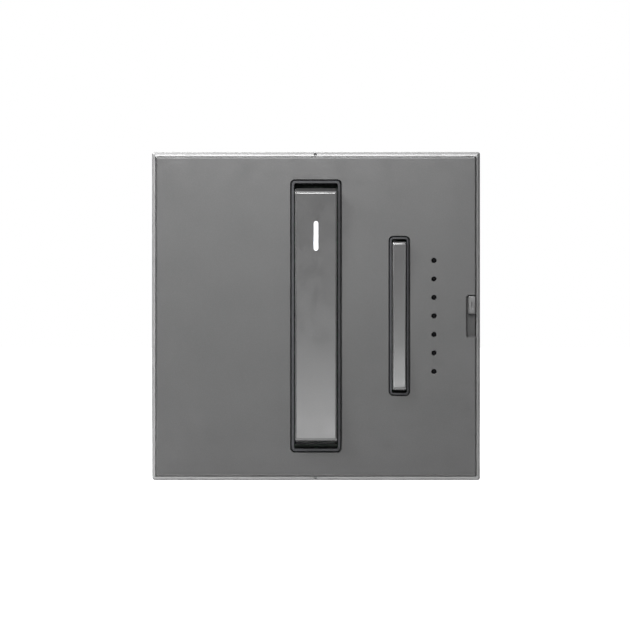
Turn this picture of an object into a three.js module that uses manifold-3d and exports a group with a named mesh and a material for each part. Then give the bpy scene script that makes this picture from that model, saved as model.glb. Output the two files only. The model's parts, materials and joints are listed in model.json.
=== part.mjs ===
// Dimmer switch, a 45 x 45 mm wall module: a tall on/off rocker, a narrow dimming rocker,
// seven level lights and a small air-gap service slide. Millimetres, +X right, +Y into the wall,
// +Z up. The origin is the centre of the seat, the plane where the bezel's rear edge rests on the
// mounting frame, so the front lies at -Y and the housing at +Y.
import * as THREE from "three";
import { mergeVertices } from "three/addons/utils/BufferGeometryUtils.js";
import Module from "manifold-3d";

const wasm = await Module();
wasm.setup();

// ---- driving dimensions -------------------------------------------------------------------

const FACE = 45; // outer width and height of the bezel
const BEZEL_FRONT = -8.9;
const BEZEL_CHAMFER = 0.38;
const BEZEL_OPENING = 40.4; // clear width behind the face plate
const POCKET = 44.16; // the recess in the bezel that takes the face plate
const POCKET_FLOOR = -7.1;

const PLATE = 43.9;
const PLATE_CHAMFER = 0.2;
const PLATE_FRONT = -9;
const PLATE_REAR = -7.2;
const THROUGH_PLATE = [-10, -6];

const ROCKER = {
  x: 0,
  opening: [7, 37.4], // in the face plate, width and height
  collarGap: 0.22, // round the collar that lines it
  collarWall: 0.28,
  width: 5.76,
  length: 35.1,
  pin: -5.9, // depth of the pivot
  pinRadius: 0.6,
  lug: { inner: 4.5, outer: 5.7, halfHeight: 1.4 },
  foot: 15, // where it presses, from the middle
};
const DIMMER = {
  x: 11.43,
  opening: [2.86, 21.9],
  collarGap: 0.2,
  collarWall: 0.2,
  width: 1.86,
  length: 20.4,
  pin: -6,
  pinRadius: 0.45,
  lug: { inner: 2.2, outer: 3.1, halfHeight: 1.2 },
  foot: 7,
};
const ROCKER_SCOOP = { middle: -9.5, ends: -10.4 }; // front surface of the large rocker
const DIMMER_SCOOP = { middle: -9.35, ends: -9.9 };
const PADDLE_REAR = -7.7;
const FOOT_TIP = -6.6;

const INDICATOR = { z: 10.98, width: 0.6, length: 4, front: -9.85 };
const LEVEL = { x: 16.19, pitch: 2.54, count: 7, hole: 0.34 };

const TAB = { left: 20.88, right: 21.93, low: 0.3, high: 2.74, front: -9.25 };
const TAB_NOTCH = { left: 20.72, low: -2.75, high: 2.79, lip: 0.36 };
const TAB_CHANNEL = { side: 22.05, low: -6.8, high: 6.2, front: -8 }; // room for it behind the plate

const BOARD_FRONT = -4.4; // control board
const BOARD_REAR = -2.9;
const YOKE_FRONT = -1.8;
const YOKE_REAR = -0.3;
const POWER_FRONT = 11; // power board
const POWER_REAR = 12.6;

const HOUSING = 40;
const HOUSING_FRONT = -0.1;
const HOUSING_REAR = 28;
const WALL = 1.4;
const REAR_WALL = 1.6;
const SCREW_AT = 17.2; // housing screws, from the centre along X and Z
const SCREW_PILOT = 0.85;
const SCREW_SEAT = 25.6;
const VENT = { width: 1.2, pitch: 2.6 };
const COLUMN = 2.8;

const TERMINAL_X = [-11, 0, 11];
const TERMINAL_Y = 20;
const WIRE_Z = -10.35;

const LATCH = { y: 10.8, z: 20.75, tip: 2.3, reach: 21.85, width: 7.8 };

// ---- solids -------------------------------------------------------------------------------

// A closed three.js geometry as a manifold solid, faces turned out.
function solid(geometry) {
  const bare = geometry.index ? geometry.toNonIndexed() : geometry.clone();
  bare.deleteAttribute("normal");
  bare.deleteAttribute("uv");
  const merged = mergeVertices(bare, 1e-4);
  const make = (triVerts) =>
    new wasm.Manifold(
      new wasm.Mesh({ numProp: 3, vertProperties: merged.attributes.position.array, triVerts }),
    );
  const faces = new Uint32Array(merged.index.array);
  const made = make(faces);
  return made.volume() > 0 ? made : make(faces.reverse());
}

const join = (first, ...others) => others.reduce((all, next) => all.add(next), first);
const cut = (first, ...others) => others.reduce((all, next) => all.subtract(next), first);

// A box between two corners.
function block([x0, x1], [y0, y1], [z0, z1]) {
  const box = new THREE.BoxGeometry(x1 - x0, y1 - y0, z1 - z0);
  return solid(box.translate((x0 + x1) / 2, (y0 + y1) / 2, (z0 + z1) / 2));
}

// A round bar between two stations along one axis, centred at the other two coordinates.
function bar(axis, radius, [from, to], [a, b], sides = 16, endRadius = radius) {
  const round = new THREE.CylinderGeometry(endRadius, radius, to - from, sides);
  round.translate(0, (from + to) / 2, 0);
  if (axis === "x") return solid(round.rotateZ(-Math.PI / 2).translate(0, a, b));
  if (axis === "z") return solid(round.rotateX(Math.PI / 2).translate(a, b, 0));
  return solid(round.translate(a, 0, b));
}

// A turned piece about the Y axis from (radius, y) pairs that start and end on the axis.
function turned(profile, sides = 20) {
  return solid(new THREE.LatheGeometry(profile.map(([r, y]) => new THREE.Vector2(r, y)), sides));
}

function roundedRectangle(width, height, radius, x = 0, z = 0) {
  const [w, h] = [width / 2, height / 2];
  const outline = new THREE.Shape();
  outline.moveTo(x - w + radius, z - h);
  outline.lineTo(x + w - radius, z - h);
  outline.absarc(x + w - radius, z - h + radius, radius, -Math.PI / 2, 0);
  outline.lineTo(x + w, z + h - radius);
  outline.absarc(x + w - radius, z + h - radius, radius, 0, Math.PI / 2);
  outline.lineTo(x - w + radius, z + h);
  outline.absarc(x - w + radius, z + h - radius, radius, Math.PI / 2, Math.PI);
  outline.lineTo(x - w, z - h + radius);
  outline.absarc(x - w + radius, z - h + radius, radius, Math.PI, 1.5 * Math.PI);
  return outline;
}

function polygon(points) {
  return new THREE.Shape(points.map(([a, b]) => new THREE.Vector2(a, b)));
}

// An outline in X and Z carried from one depth to another.
function slab(outline, front, rear, curveSegments = 2) {
  const depth = rear - front;
  const extruded = new THREE.ExtrudeGeometry(outline, { depth, bevelEnabled: false, curveSegments });
  return solid(extruded.rotateX(Math.PI / 2).translate(0, rear, 0));
}

// The same with a chamfer round its front edge, or round its rear edge. The chamfer is no larger
// than the outline's corner radius.
function chamferedSlab(outline, front, rear, chamfer, end = "front", curveSegments = 2) {
  const extruded = new THREE.ExtrudeGeometry(outline, {
    depth: rear - front,
    bevelSize: chamfer,
    bevelThickness: chamfer,
    bevelOffset: -chamfer,
    bevelSegments: 1,
    curveSegments,
  });
  const shift = end === "front" ? chamfer : -chamfer;
  const long = solid(extruded.rotateX(Math.PI / 2).translate(0, rear + shift, 0));
  const wide = [-FACE, FACE];
  const spare = end === "front" ? [rear, rear + FACE] : [front - FACE, front];
  return cut(long, block(wide, spare, wide));
}

// A side profile in Y and Z carried along X, centred at x, with its long edges chamfered.
function sideProfile(outline, x, width, chamfer = 0, curveSegments = 4) {
  const extruded = new THREE.ExtrudeGeometry(outline, {
    depth: width - 2 * chamfer,
    bevelEnabled: chamfer > 0,
    bevelSize: chamfer,
    bevelThickness: chamfer,
    bevelOffset: -chamfer,
    bevelSegments: 1,
    curveSegments,
  });
  extruded.translate(0, 0, chamfer - width / 2);
  const [right, back, up] = [
    new THREE.Vector3(1, 0, 0),
    new THREE.Vector3(0, 1, 0),
    new THREE.Vector3(0, 0, 1),
  ];
  extruded.applyMatrix4(new THREE.Matrix4().makeBasis(back, up, right));
  return solid(extruded.translate(x, 0, 0));
}

// A square block whose four sides spread at 45 degrees from its front face to the rear.
function spreadingBlock(frontHalf, front, rear) {
  const depth = rear - front;
  const [small, large] = [frontHalf * Math.SQRT2, (frontHalf + depth) * Math.SQRT2];
  const pyramid = new THREE.CylinderGeometry(large, small, depth, 4, 1, false, Math.PI / 4);
  return solid(pyramid.translate(0, (front + rear) / 2, 0));
}

// ---- materials ----------------------------------------------------------------------------

const finish = (color, roughness, metalness) =>
  new THREE.MeshStandardMaterial({ color, roughness, metalness, flatShading: true });
const GRAPHITE = [0x7a7b7d, 0.42, 0.6];
const SILVER = [0xc4c7ca, 0.3, 0.8];
const DARK_PLASTIC = [0x2f3134, 0.55, 0];
const SMOKED = [0x26282b, 0.2, 0];
const LIT = [0xffffff, 0.3, 0];
const LIGHT_PLASTIC = [0xd9dad6, 0.5, 0];
const STEEL = [0xb8bcc0, 0.35, 1];
const BRASS = [0xc9a45c, 0.35, 1];
const ALUMINIUM = [0xc9ccd0, 0.4, 1];
const BOARD_GREEN = [0x1f5a3a, 0.5, 0];
const BLACK_EPOXY = [0x1b1b1d, 0.4, 0];
const COPPER = [0xb4703c, 0.35, 1];
const FERRITE = [0x8f9a4a, 0.7, 0];
const BLUE_EPOXY = [0x2f5f9e, 0.35, 0];

// A named node: the solid's mesh with a material of its own.
function node(name, made, look) {
  const { numProp, vertProperties, triVerts } = made.getMesh();
  const geometry = new THREE.BufferGeometry();
  const positions = new THREE.InterleavedBuffer(vertProperties, numProp);
  geometry.setAttribute("position", new THREE.InterleavedBufferAttribute(positions, 3, 0));
  geometry.setIndex(new THREE.BufferAttribute(triVerts, 1));
  const mesh = new THREE.Mesh(geometry, finish(...look));
  mesh.name = name;
  return mesh;
}

function placed(mesh, x, y, z) {
  mesh.position.set(x, y, z);
  return mesh;
}

const corners = [
  [1, 1],
  [-1, 1],
  [-1, -1],
  [1, -1],
];
const screwPlaces = corners.map(([sx, sz]) => [sx * SCREW_AT, sz * SCREW_AT]);

// The stretch between two distances from the middle, on one side of it.
const onSide = (side, near, far) => (side > 0 ? [near, far] : [-far, -near]);

// ---- front: bezel, plate, collars ---------------------------------------------------------

function bezelFrame() {
  const half = BEZEL_OPENING / 2;
  const outer = slab(roundedRectangle(FACE, FACE, 0.3), BEZEL_FRONT, 0).intersect(
    spreadingBlock(FACE / 2 - BEZEL_CHAMFER, BEZEL_FRONT, 1),
  );
  const pocket = roundedRectangle(POCKET, POCKET, 0.2);
  const hollow = roundedRectangle(BEZEL_OPENING, BEZEL_OPENING, 0.8);
  const shell = cut(outer, slab(pocket, BEZEL_FRONT - 1, POCKET_FLOOR), slab(hollow, -8, 1));
  const bossDepth = [POCKET_FLOOR, YOKE_FRONT - 0.1];
  const bosses = corners.map(([sx, sz], i) =>
    join(
      bar("y", 2.2, bossDepth, screwPlaces[i]),
      block(onSide(sx, SCREW_AT, half + 0.5), bossDepth, onSide(sz, SCREW_AT, half + 0.5)),
    ),
  );
  const pilots = screwPlaces.map((at) => bar("y", SCREW_PILOT, [-6.4, 0], at, 12));
  const channelHeight = [TAB_CHANNEL.low, TAB_CHANNEL.high];
  const slideChannel = block([half - 1, TAB_CHANNEL.side], [TAB_CHANNEL.front, -3.6], channelHeight);
  const catches = catchPlaces().map(([side, z]) =>
    block(onSide(side, half - 1, half + 0.7), [-5.7, -4.2], [z - 2, z + 2]),
  );
  const pryAt = POCKET / 2 + 0.04;
  const pryNotches = [1, -1].map((s) => bar("y", 0.2, [-10, -8.1], [0, s * pryAt], 10));
  return node(
    "bezel_frame",
    cut(join(shell, ...bosses), ...pilots, slideChannel, ...catches, ...pryNotches),
    SILVER,
  );
}

// Where the plate's snap-in hooks catch the bezel: side and height.
function catchPlaces() {
  return [
    [-1, 10],
    [-1, -10],
    [1, 10.5],
    [1, -10.5],
  ];
}

function plateHooks() {
  return catchPlaces().map(([s, z]) => {
    const outline = [
      [19.1, -7.4],
      [19.9, -7.4],
      [19.9, -5.4],
      [20.6, -5.3],
      [20.2, -4.6],
      [19.1, -4.6],
    ].map(([x, y]) => [s * x, y]);
    const hook = new THREE.ExtrudeGeometry(polygon(outline), { depth: 3, bevelEnabled: false });
    return solid(hook.translate(0, 0, z - 1.5));
  });
}

// Two lugs behind the plate that hold a rocker's pin, from inner to outer distance.
function pinLugs({ x, pin, pinRadius, lug }) {
  return [1, -1].map((side) => {
    const across = onSide(side, lug.inner, lug.outer).map((distance) => x + distance);
    const ear = block(across, [PLATE_REAR - 0.2, pin + 1], [-lug.halfHeight, lug.halfHeight]);
    return cut(ear, bar("x", pinRadius + 0.1, [x - 8, x + 8], [pin, 0], 12));
  });
}

function levelPlaces() {
  const middle = (LEVEL.count - 1) / 2;
  return Array.from({ length: LEVEL.count }, (_, i) => (middle - i) * LEVEL.pitch);
}

// The slope along the lower edge of the slide's notch.
function notchLip() {
  const { left, low, lip } = TAB_NOTCH;
  const slope = polygon([
    [PLATE_FRONT - 1, low - lip - 1],
    [PLATE_FRONT + lip, low],
    [PLATE_FRONT - 1, low],
  ]);
  const width = PLATE - left;
  return sideProfile(slope, left + width / 2, width);
}

function facePlate() {
  const sheet = chamferedSlab(roundedRectangle(PLATE, PLATE, 0.25), PLATE_FRONT, PLATE_REAR, PLATE_CHAMFER);
  const openings = [
    slab(roundedRectangle(...ROCKER.opening, 0.6, ROCKER.x), ...THROUGH_PLATE),
    slab(roundedRectangle(...DIMMER.opening, 0.6, DIMMER.x), ...THROUGH_PLATE),
    block([TAB_NOTCH.left, PLATE], THROUGH_PLATE, [TAB_NOTCH.low, TAB_NOTCH.high]),
    notchLip(),
    block([19.9, PLATE], [TAB_CHANNEL.front, -6], [TAB_CHANNEL.low, TAB_CHANNEL.high]),
    ...levelPlaces().map((z) => bar("y", LEVEL.hole, THROUGH_PLATE, [LEVEL.x, z], 12)),
  ];
  const ribs = [-14, -8.5].map((x) => block([x - 0.4, x + 0.4], [PLATE_REAR - 0.2, -6.4], [-17, 17]));
  return node(
    "face_plate",
    join(
      cut(sheet, ...openings),
      ...pinLugs(ROCKER),
      ...pinLugs(DIMMER),
      ...ribs,
      ...plateHooks(),
    ),
    GRAPHITE,
  );
}

// A ring that lines an opening, with a flange behind the plate.
function collar(name, { x, opening: [openWidth, openHeight], collarGap, collarWall }) {
  const [width, height] = [openWidth - 2 * collarGap, openHeight - 2 * collarGap];
  const outer = roundedRectangle(width, height, 0.5, x);
  const flange = roundedRectangle(openWidth + 1.2, openHeight + 1.2, 0.9, x);
  const bore = roundedRectangle(width - 2 * collarWall, height - 2 * collarWall, 0.25, x);
  const ring = join(
    chamferedSlab(outer, PLATE_FRONT - 0.05, -6.9, 0.1),
    slab(flange, PLATE_REAR + 0.1, -6.7),
  );
  return node(name, cut(ring, slab(bore, ...THROUGH_PLATE)), DARK_PLASTIC);
}

// ---- rockers ------------------------------------------------------------------------------

// Side outline of a rocker: scooped front, sloping ends, a hub for the pin behind the middle.
function rockerOutline({ length, pin }, { middle, ends }, endWidth, hub) {
  const half = length / 2;
  const edge = half - endWidth;
  const steps = 12;
  const front = Array.from({ length: steps + 1 }, (_, i) => {
    const z = edge * (1 - (2 * i) / steps);
    return [middle + (ends - middle) * (z / edge) ** 2, z];
  });
  const lowerHalf = [
    [ends + 0.15, -edge - 0.25],
    [ends + 1.6, -half],
    [PADDLE_REAR, -half],
    [PADDLE_REAR, -hub],
    [pin + 0.5, -hub + 0.2],
    [pin + 1, -hub + 0.8],
  ];
  const upperHalf = lowerHalf.map(([y, z]) => [y, -z]).reverse();
  return polygon([...front, ...lowerHalf, ...upperHalf]);
}

function foot({ x, foot: place }, sign, halfWidth, halfHeight) {
  const z = sign * place;
  const depth = [PADDLE_REAR - 0.3, FOOT_TIP];
  return block([x - halfWidth, x + halfWidth], depth, [z - halfHeight, z + halfHeight]);
}

function onOffRocker() {
  const paddle = sideProfile(rockerOutline(ROCKER, ROCKER_SCOOP, 0.55, 2), ROCKER.x, ROCKER.width, 0.2);
  const pinHole = bar("x", ROCKER.pinRadius + 0.1, [-4, 4], [ROCKER.pin, 0], 12);
  const slot = roundedRectangle(INDICATOR.width + 0.24, INDICATOR.length + 0.3, 0.4, 0, INDICATOR.z);
  const weightSavers = [
    [2.9, 8],
    [-13.4, -2.9],
  ].map((height) => block([-2, 2], [-8.6, -7], height));
  const feet = [1, -1].map((end) => foot(ROCKER, end, 1.2, 0.9));
  return node(
    "on_off_rocker",
    cut(join(paddle, ...feet), pinHole, slab(slot, -12, -6), ...weightSavers),
    GRAPHITE,
  );
}

// A light guide let into the rocker: the lit bar in front, a flange behind the paddle.
function rockerIndicator() {
  const lit = roundedRectangle(INDICATOR.width, INDICATOR.length, 0.29, 0, INDICATOR.z);
  const flange = roundedRectangle(1.6, INDICATOR.length + 1, 0.3, 0, INDICATOR.z);
  return node("rocker_indicator", join(slab(lit, INDICATOR.front, -7.2), slab(flange, -7.5, -6.9)), LIT);
}

function dimmerRocker() {
  const paddle = sideProfile(rockerOutline(DIMMER, DIMMER_SCOOP, 0.3, 1.5), DIMMER.x, DIMMER.width, 0.12);
  const pinHole = bar("x", DIMMER.pinRadius + 0.1, [DIMMER.x - 3, DIMMER.x + 3], [DIMMER.pin, 0], 12);
  const feet = [1, -1].map((end) => foot(DIMMER, end, 0.8, 0.8));
  return node("dimmer_rocker", cut(join(paddle, ...feet), pinHole), GRAPHITE);
}

function pivotPin(name, { x, pin, pinRadius, lug }) {
  const halfLength = lug.outer - 0.1;
  return node(name, bar("x", pinRadius, [x - halfLength, x + halfLength], [pin, 0], 14), STEEL);
}

// Seven round tips on one rail behind the plate.
function levelLightGuide() {
  const end = ((LEVEL.count - 1) / 2) * LEVEL.pitch + 1;
  const rail = block([LEVEL.x - 0.8, LEVEL.x + 0.8], [-7, -6.1], [-end, end]);
  const tips = levelPlaces().map((z) => bar("y", LEVEL.hole - 0.08, [-8.6, -6.8], [LEVEL.x, z], 10));
  return node("level_light_guide", join(rail, ...tips), SMOKED);
}

// ---- air-gap service slide ----------------------------------------------------------------

// The knob, the long shutter behind the plate that keeps the notch closed wherever the knob is,
// and the carrier that the moving contact sits on.
function airGapTab() {
  const { left, right, low, high, front } = TAB;
  const middle = (low + high) / 2;
  const outline = roundedRectangle(right - left, high - low, 0.15, (left + right) / 2, middle);
  const knob = chamferedSlab(outline, front, -7.8, 0.1);
  const shutterHeight = [TAB_NOTCH.low - 0.75, TAB_NOTCH.high + 2.91];
  const shutter = block([20.05, right], [TAB_CHANNEL.front + 0.1, -6.6], shutterHeight);
  const carrier = block([18.1, 21.3], [-6.8, -5.7], [middle - 2.6, middle + 2.6]);
  return node("air_gap_tab", join(knob, shutter, carrier), GRAPHITE);
}

function airGapBridge() {
  const outline = polygon([
    [-5.6, -1.2],
    [-5.6, 3.2],
    [-5.4, 3.6],
    [-5.2, 3.6],
    [-5.2, -1.6],
    [-5.4, -1.6],
  ]);
  return node("air_gap_bridge", sideProfile(outline, 18.9, 1.4), COPPER);
}

function airGapContact(name, [low, high]) {
  const outline = polygon([
    [-5.1, low + 0.3],
    [-5.1, high - 0.3],
    [-4.9, high],
    [-4.5, high],
    [-4.5, low],
    [-4.9, low],
  ]);
  return node(name, sideProfile(outline, 18.9, 1.2), BRASS);
}

// ---- control board ------------------------------------------------------------------------

// A square board with its four corners cut back to clear the screw columns.
function crossBoard(half, cornerAt, front, rear) {
  const board = slab(roundedRectangle(2 * half, 2 * half, 0.5), front, rear, 2);
  const clearances = corners.map(([sx, sz]) =>
    block(onSide(sx, cornerAt, half + 1), [front - 1, rear + 1], onSide(sz, cornerAt, half + 1)),
  );
  return cut(board, ...clearances);
}

function controlBoard() {
  return node("control_board", crossBoard(19.6, 14.6, BOARD_FRONT, BOARD_REAR), BOARD_GREEN);
}

// A push switch standing on the board, and the plunger that its rocker holds half way in.
function switchBody(name, x, z) {
  const shell = chamferedSlab(roundedRectangle(4.2, 4.2, 0.4), -1.5, -0.05, 0.2, "front", 2);
  const stemHole = bar("y", 0.75, [-2, -0.2], [0, 0], 12);
  return placed(node(name, cut(shell, stemHole), BLACK_EPOXY), x, BOARD_FRONT, z);
}

function plunger(name, x, z) {
  const stem = turned([[0, -2.1], [0.35, -2.1], [0.6, -1.95], [0.6, -0.95], [0, -0.95]], 12);
  return placed(node(name, stem, LIGHT_PLASTIC), x, BOARD_FRONT, z);
}

function lightSource(name, x, z) {
  const base = block([-0.8, 0.8], [-0.35, -0.05], [-0.4, 0.4]);
  const lens = chamferedSlab(roundedRectangle(1.1, 0.7, 0.15), -0.7, -0.3, 0.1, "front", 1);
  return placed(node(name, join(base, lens), LIGHT_PLASTIC), x, BOARD_FRONT, z);
}

// Pins that carry supply and signals from the power board, through the yoke, to the control board.
function boardHeader() {
  const body = block([-15.2, -12.8], [BOARD_REAR + 0.1, 0.8], [-6, 6]);
  const pins = Array.from({ length: 5 }, (_, i) => {
    const z = (i - 2) * LEVEL.pitch;
    return block([-14.3, -13.7], [0.5, POWER_FRONT - 0.1], [z - 0.3, z + 0.3]);
  });
  return node("board_header", join(body, ...pins), BLACK_EPOXY);
}

// ---- power section ------------------------------------------------------------------------

const TRANSISTOR_X = 5.8;
const TAB_HOLE_Z = 6.6;

function heatSinkYoke() {
  const plate = slab(roundedRectangle(HOUSING, HOUSING, 1), YOKE_FRONT, YOKE_REAR);
  const fins = [-1, 1].map((side) => block(onSide(side, 17, 18.2), [YOKE_REAR - 0.2, 9.5], [-13, 13]));
  const through = [YOKE_FRONT - 1, YOKE_REAR + 1];
  const screwHoles = screwPlaces.map((at) => bar("y", 1.3, through, at, 12));
  const tapped = [-1, 1].map((s) => bar("y", 1.4, through, [s * TRANSISTOR_X, TAB_HOLE_Z], 12));
  const headerWindow = block([-15.7, -12.3], through, [-6.5, 6.5]);
  return node(
    "heat_sink_yoke",
    cut(join(plate, ...fins), ...screwHoles, ...tapped, headerWindow),
    ALUMINIUM,
  );
}

// A flat-pack power transistor with its tab screwed to the yoke.
function powerTransistor(name, side) {
  const body = chamferedSlab(roundedRectangle(9.6, 9, 0.5, 0, -1.5), -0.1, 4.3, 0.4, "rear", 1);
  const tab = cut(
    slab(roundedRectangle(9.6, 6.6, 0.4, 0, 6), -0.1, 1.1, 2),
    bar("y", 1.6, [-1, 3], [0, TAB_HOLE_Z], 12),
  );
  const leads = [-1, 0, 1].map((i) => {
    const x = i * LEVEL.pitch;
    const down = block([x - 0.4, x + 0.4], [1.8, 2.4], [-8.6, -5.8]);
    return join(down, block([x - 0.4, x + 0.4], [1.8, POWER_FRONT - 0.1], [-8.6, -8]));
  });
  return placed(node(name, join(body, tab, ...leads), BLACK_EPOXY), side * TRANSISTOR_X, 0, 0);
}

// A pan-head screw along Y, its head towards the rear, with a cross recess.
function panScrew(headRadius, headHeight, shankRadius, length, sides = 18) {
  const body = turned(
    [
      [0, -length],
      [shankRadius * 0.5, -length],
      [shankRadius, -length + 0.8],
      [shankRadius, 0],
      [headRadius, 0],
      [headRadius, headHeight * 0.5],
      [headRadius * 0.7, headHeight],
      [0, headHeight],
    ],
    sides,
  );
  const [arm, wing] = [headRadius * 0.55, headRadius * 0.14];
  const depth = [headHeight * 0.45, headHeight + 1];
  return cut(body, block([-arm, arm], depth, [-wing, wing]), block([-wing, wing], depth, [-arm, arm]));
}

function transistorScrew(name, side) {
  const screw = node(name, panScrew(2.5, 1.6, 1.25, 2.7, 14), STEEL);
  return placed(screw, side * TRANSISTOR_X, 1.2, TAB_HOLE_Z);
}

function powerBoard() {
  return node("power_board", crossBoard(18.2, 14.2, POWER_FRONT, POWER_REAR), BOARD_GREEN);
}

const CHOKE = { x: -9, z: 8.6, radius: 5.6, y: 17.4, halfWidth: 1.2, halfHeight: 1.5, wire: 0.4 };
const CHOKE_TURNS = 12;

function chokeCore() {
  const { radius, halfWidth, halfHeight } = CHOKE;
  const [inner, outer] = [radius - halfWidth, radius + halfWidth];
  const section = [
    [inner, -halfHeight],
    [outer, -halfHeight],
    [outer, halfHeight],
    [inner, halfHeight],
    [inner, -halfHeight],
  ];
  return placed(node("choke_core", turned(section), FERRITE), CHOKE.x, CHOKE.y, CHOKE.z);
}

// Enamelled wire wound round the ring for most of the way, each turn a square with round corners.
class Winding extends THREE.Curve {
  getPoint(t) {
    const around = 0.35 + t * (2 * Math.PI - 0.7);
    const roll = t * CHOKE_TURNS * 2 * Math.PI;
    const square = 1 / Math.max(Math.abs(Math.cos(roll)), Math.abs(Math.sin(roll)));
    const spread = CHOKE.wire + 0.7;
    const corner = Math.min(square, 1.25);
    const reach = CHOKE.radius + (CHOKE.halfWidth + spread) * Math.cos(roll) * corner;
    const rise = (CHOKE.halfHeight + spread) * Math.sin(roll) * corner;
    return new THREE.Vector3(reach * Math.cos(around), rise, reach * Math.sin(around));
  }
}

function chokeWinding() {
  const section = new THREE.Shape().absarc(0, 0, CHOKE.wire, 0, 2 * Math.PI);
  const wire = new THREE.ExtrudeGeometry(section, {
    steps: 84,
    curveSegments: 3,
    extrudePath: new Winding(),
  });
  return placed(node("choke_winding", solid(wire), COPPER), CHOKE.x, CHOKE.y, CHOKE.z);
}

const PART_FOOT = POWER_REAR + 0.6; // the parts stand a little clear of the power board

function withLeads(body, places) {
  const leads = places.map(([x, z]) => bar("y", 0.35, [POWER_REAR + 0.15, POWER_REAR + 1.2], [x, z], 8));
  return join(body, ...leads);
}

function filmCapacitor() {
  const [x, z] = [8.4, 13.4];
  const body = chamferedSlab(roundedRectangle(11.4, 5.6, 0.5, x, z), PART_FOOT, 24, 0.4, "rear", 1);
  const leads = [-3.8, 3.8].map((offset) => [x + offset, z]);
  return node("film_capacitor", withLeads(body, leads), LIGHT_PLASTIC);
}

// An upright can with a rolled groove near its foot.
function bulkCapacitor() {
  const [x, z, radius, height] = [12, 4, 4, 11.4];
  const can = turned(
    [
      [0, 0],
      [radius, 0],
      [radius, 0.9],
      [radius - 0.25, 1.3],
      [radius, 1.7],
      [radius, height - 0.4],
      [radius - 0.4, height],
      [0, height],
    ],
    18,
  );
  const leads = [-1.5, 1.5].map((offset) => [x + offset, z]);
  return node("bulk_capacitor", withLeads(can.translate([x, PART_FOOT, z]), leads), BLACK_EPOXY);
}

// A dipped disc on edge, with a solid shoulder between its leads.
function surgeAbsorber() {
  const [x, z] = [4, 3.6];
  const disc = bar("x", 4.4, [x - 1.8, x + 1.8], [18.6, z], 16);
  const shoulder = block([x - 0.6, x + 0.6], [PART_FOOT, 16], [z - 2.8, z + 2.8]);
  const leads = [-2.4, 2.4].map((offset) => [x, z + offset]);
  return node("surge_absorber", withLeads(join(disc, shoulder), leads), BLUE_EPOXY);
}

function fuse() {
  const [x, z, radius, height] = [-4.4, -3.6, 3.7, 6.8];
  const can = turned(
    [
      [0, 0],
      [radius, 0],
      [radius, height - 0.4],
      [radius - 0.4, height],
      [0, height],
    ],
    16,
  );
  const leads = [-2, 2].map((offset) => [x + offset, z]);
  return node("fuse", withLeads(can.translate([x, PART_FOOT, z]), leads), BLACK_EPOXY);
}

// ---- terminals ----------------------------------------------------------------------------

// Rising-cage terminal: the screw turns in place, and its cage travels along it and squeezes the
// wire between the cage's far wall and the fixed busbar.
function terminalBusbar(name, x) {
  return node(name, block([x - 1.9, x + 1.9], [POWER_REAR + 0.1, 22.8], [-12.3, -11.5]), BRASS);
}

function terminalCage(name, x) {
  const outer = block([-2.9, 2.9], [-3.2, 3.2], [-15.6, -8.4]);
  const inner = block([-2.1, 2.1], [-4, 4], [-14.8, -9.2]);
  const thread = bar("z", 1.4, [-17, -14], [0, 0], 12);
  return placed(node(name, cut(outer, inner, thread), BRASS), x, TERMINAL_Y, 0);
}

function terminalScrew(name, x) {
  const screw = turned(
    [
      [0, -18],
      [1.7, -18],
      [1.7, -17],
      [1.5, -16.6],
      [1.25, -16.6],
      [1.25, -11.4],
      [0.9, -11],
      [0, -11],
    ],
    18,
  );
  const [arm, wing, depth] = [1.1, 0.24, [-19, -17.3]];
  const crossed = cut(
    screw,
    block([-arm, arm], depth, [-wing, wing]),
    block([-wing, wing], depth, [-arm, arm]),
  );
  const mesh = node(name, crossed, STEEL);
  mesh.rotation.x = Math.PI / 2;
  return placed(mesh, x, TERMINAL_Y, -1.55);
}

// ---- rear housing and what holds it -------------------------------------------------------

function housingColumns() {
  return screwPlaces.map((at) => bar("y", COLUMN, [HOUSING_FRONT, HOUSING_REAR - 1], at, 18));
}

// A clearance bore through each column and a well for the screw's head.
function housingBores() {
  return screwPlaces.flatMap((at) => [
    bar("y", 1.2, [-1, HOUSING_REAR], at, 12),
    bar("y", 2.05, [SCREW_SEAT, HOUSING_REAR + 1], at, 18),
  ]);
}

// Cooling slots in both sides, the top and the rear wall.
function vents() {
  const wall = [HOUSING / 2 - 2, HOUSING / 2 + 1];
  const length = [-7, 7];
  const slots = (count, from) =>
    Array.from({ length: count }, (_, i) => [from + i * VENT.pitch, from + i * VENT.pitch + VENT.width]);
  const along = slots(4, 14.4);
  const sides = [-1, 1].flatMap((side) => along.map((y) => block(onSide(side, ...wall), y, length)));
  const top = along.map((y) => block(length, y, wall));
  const rear = slots(5, 2.2).map((z) => block(length, [HOUSING_REAR - 2, HOUSING_REAR + 1], z));
  return [...sides, ...top, ...rear];
}

// Three funnels in the rear wall for the wires, and a driver hole under each terminal's screw.
function wireEntries() {
  return TERMINAL_X.flatMap((x) => [
    bar("y", 1.25, [HOUSING_REAR - 3, HOUSING_REAR + 1], [x, WIRE_Z], 14),
    bar("y", 1.25, [HOUSING_REAR - 1.1, HOUSING_REAR + 0.1], [x, WIRE_Z], 14, 1.75),
    bar("z", 1.9, [-HOUSING / 2 - 1, 2 - HOUSING / 2], [x, TERMINAL_Y], 16),
  ]);
}

// Two ears on the wall that a latch's trunnions turn in.
function latchEars(sign) {
  const outline = [
    [LATCH.y - 1.1, sign * 19.6],
    [LATCH.y - 0.9, sign * 21.3],
    [LATCH.y - 0.4, sign * 21.6],
    [LATCH.y + 0.6, sign * 21.6],
    [LATCH.y + 1.8, sign * 19.6],
  ];
  return [-1, 1].map((s) =>
    cut(
      sideProfile(polygon(outline), s * 4.8, 1.2),
      bar("x", 0.5, [-6, 6], [LATCH.y, sign * LATCH.z], 12),
    ),
  );
}

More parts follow.
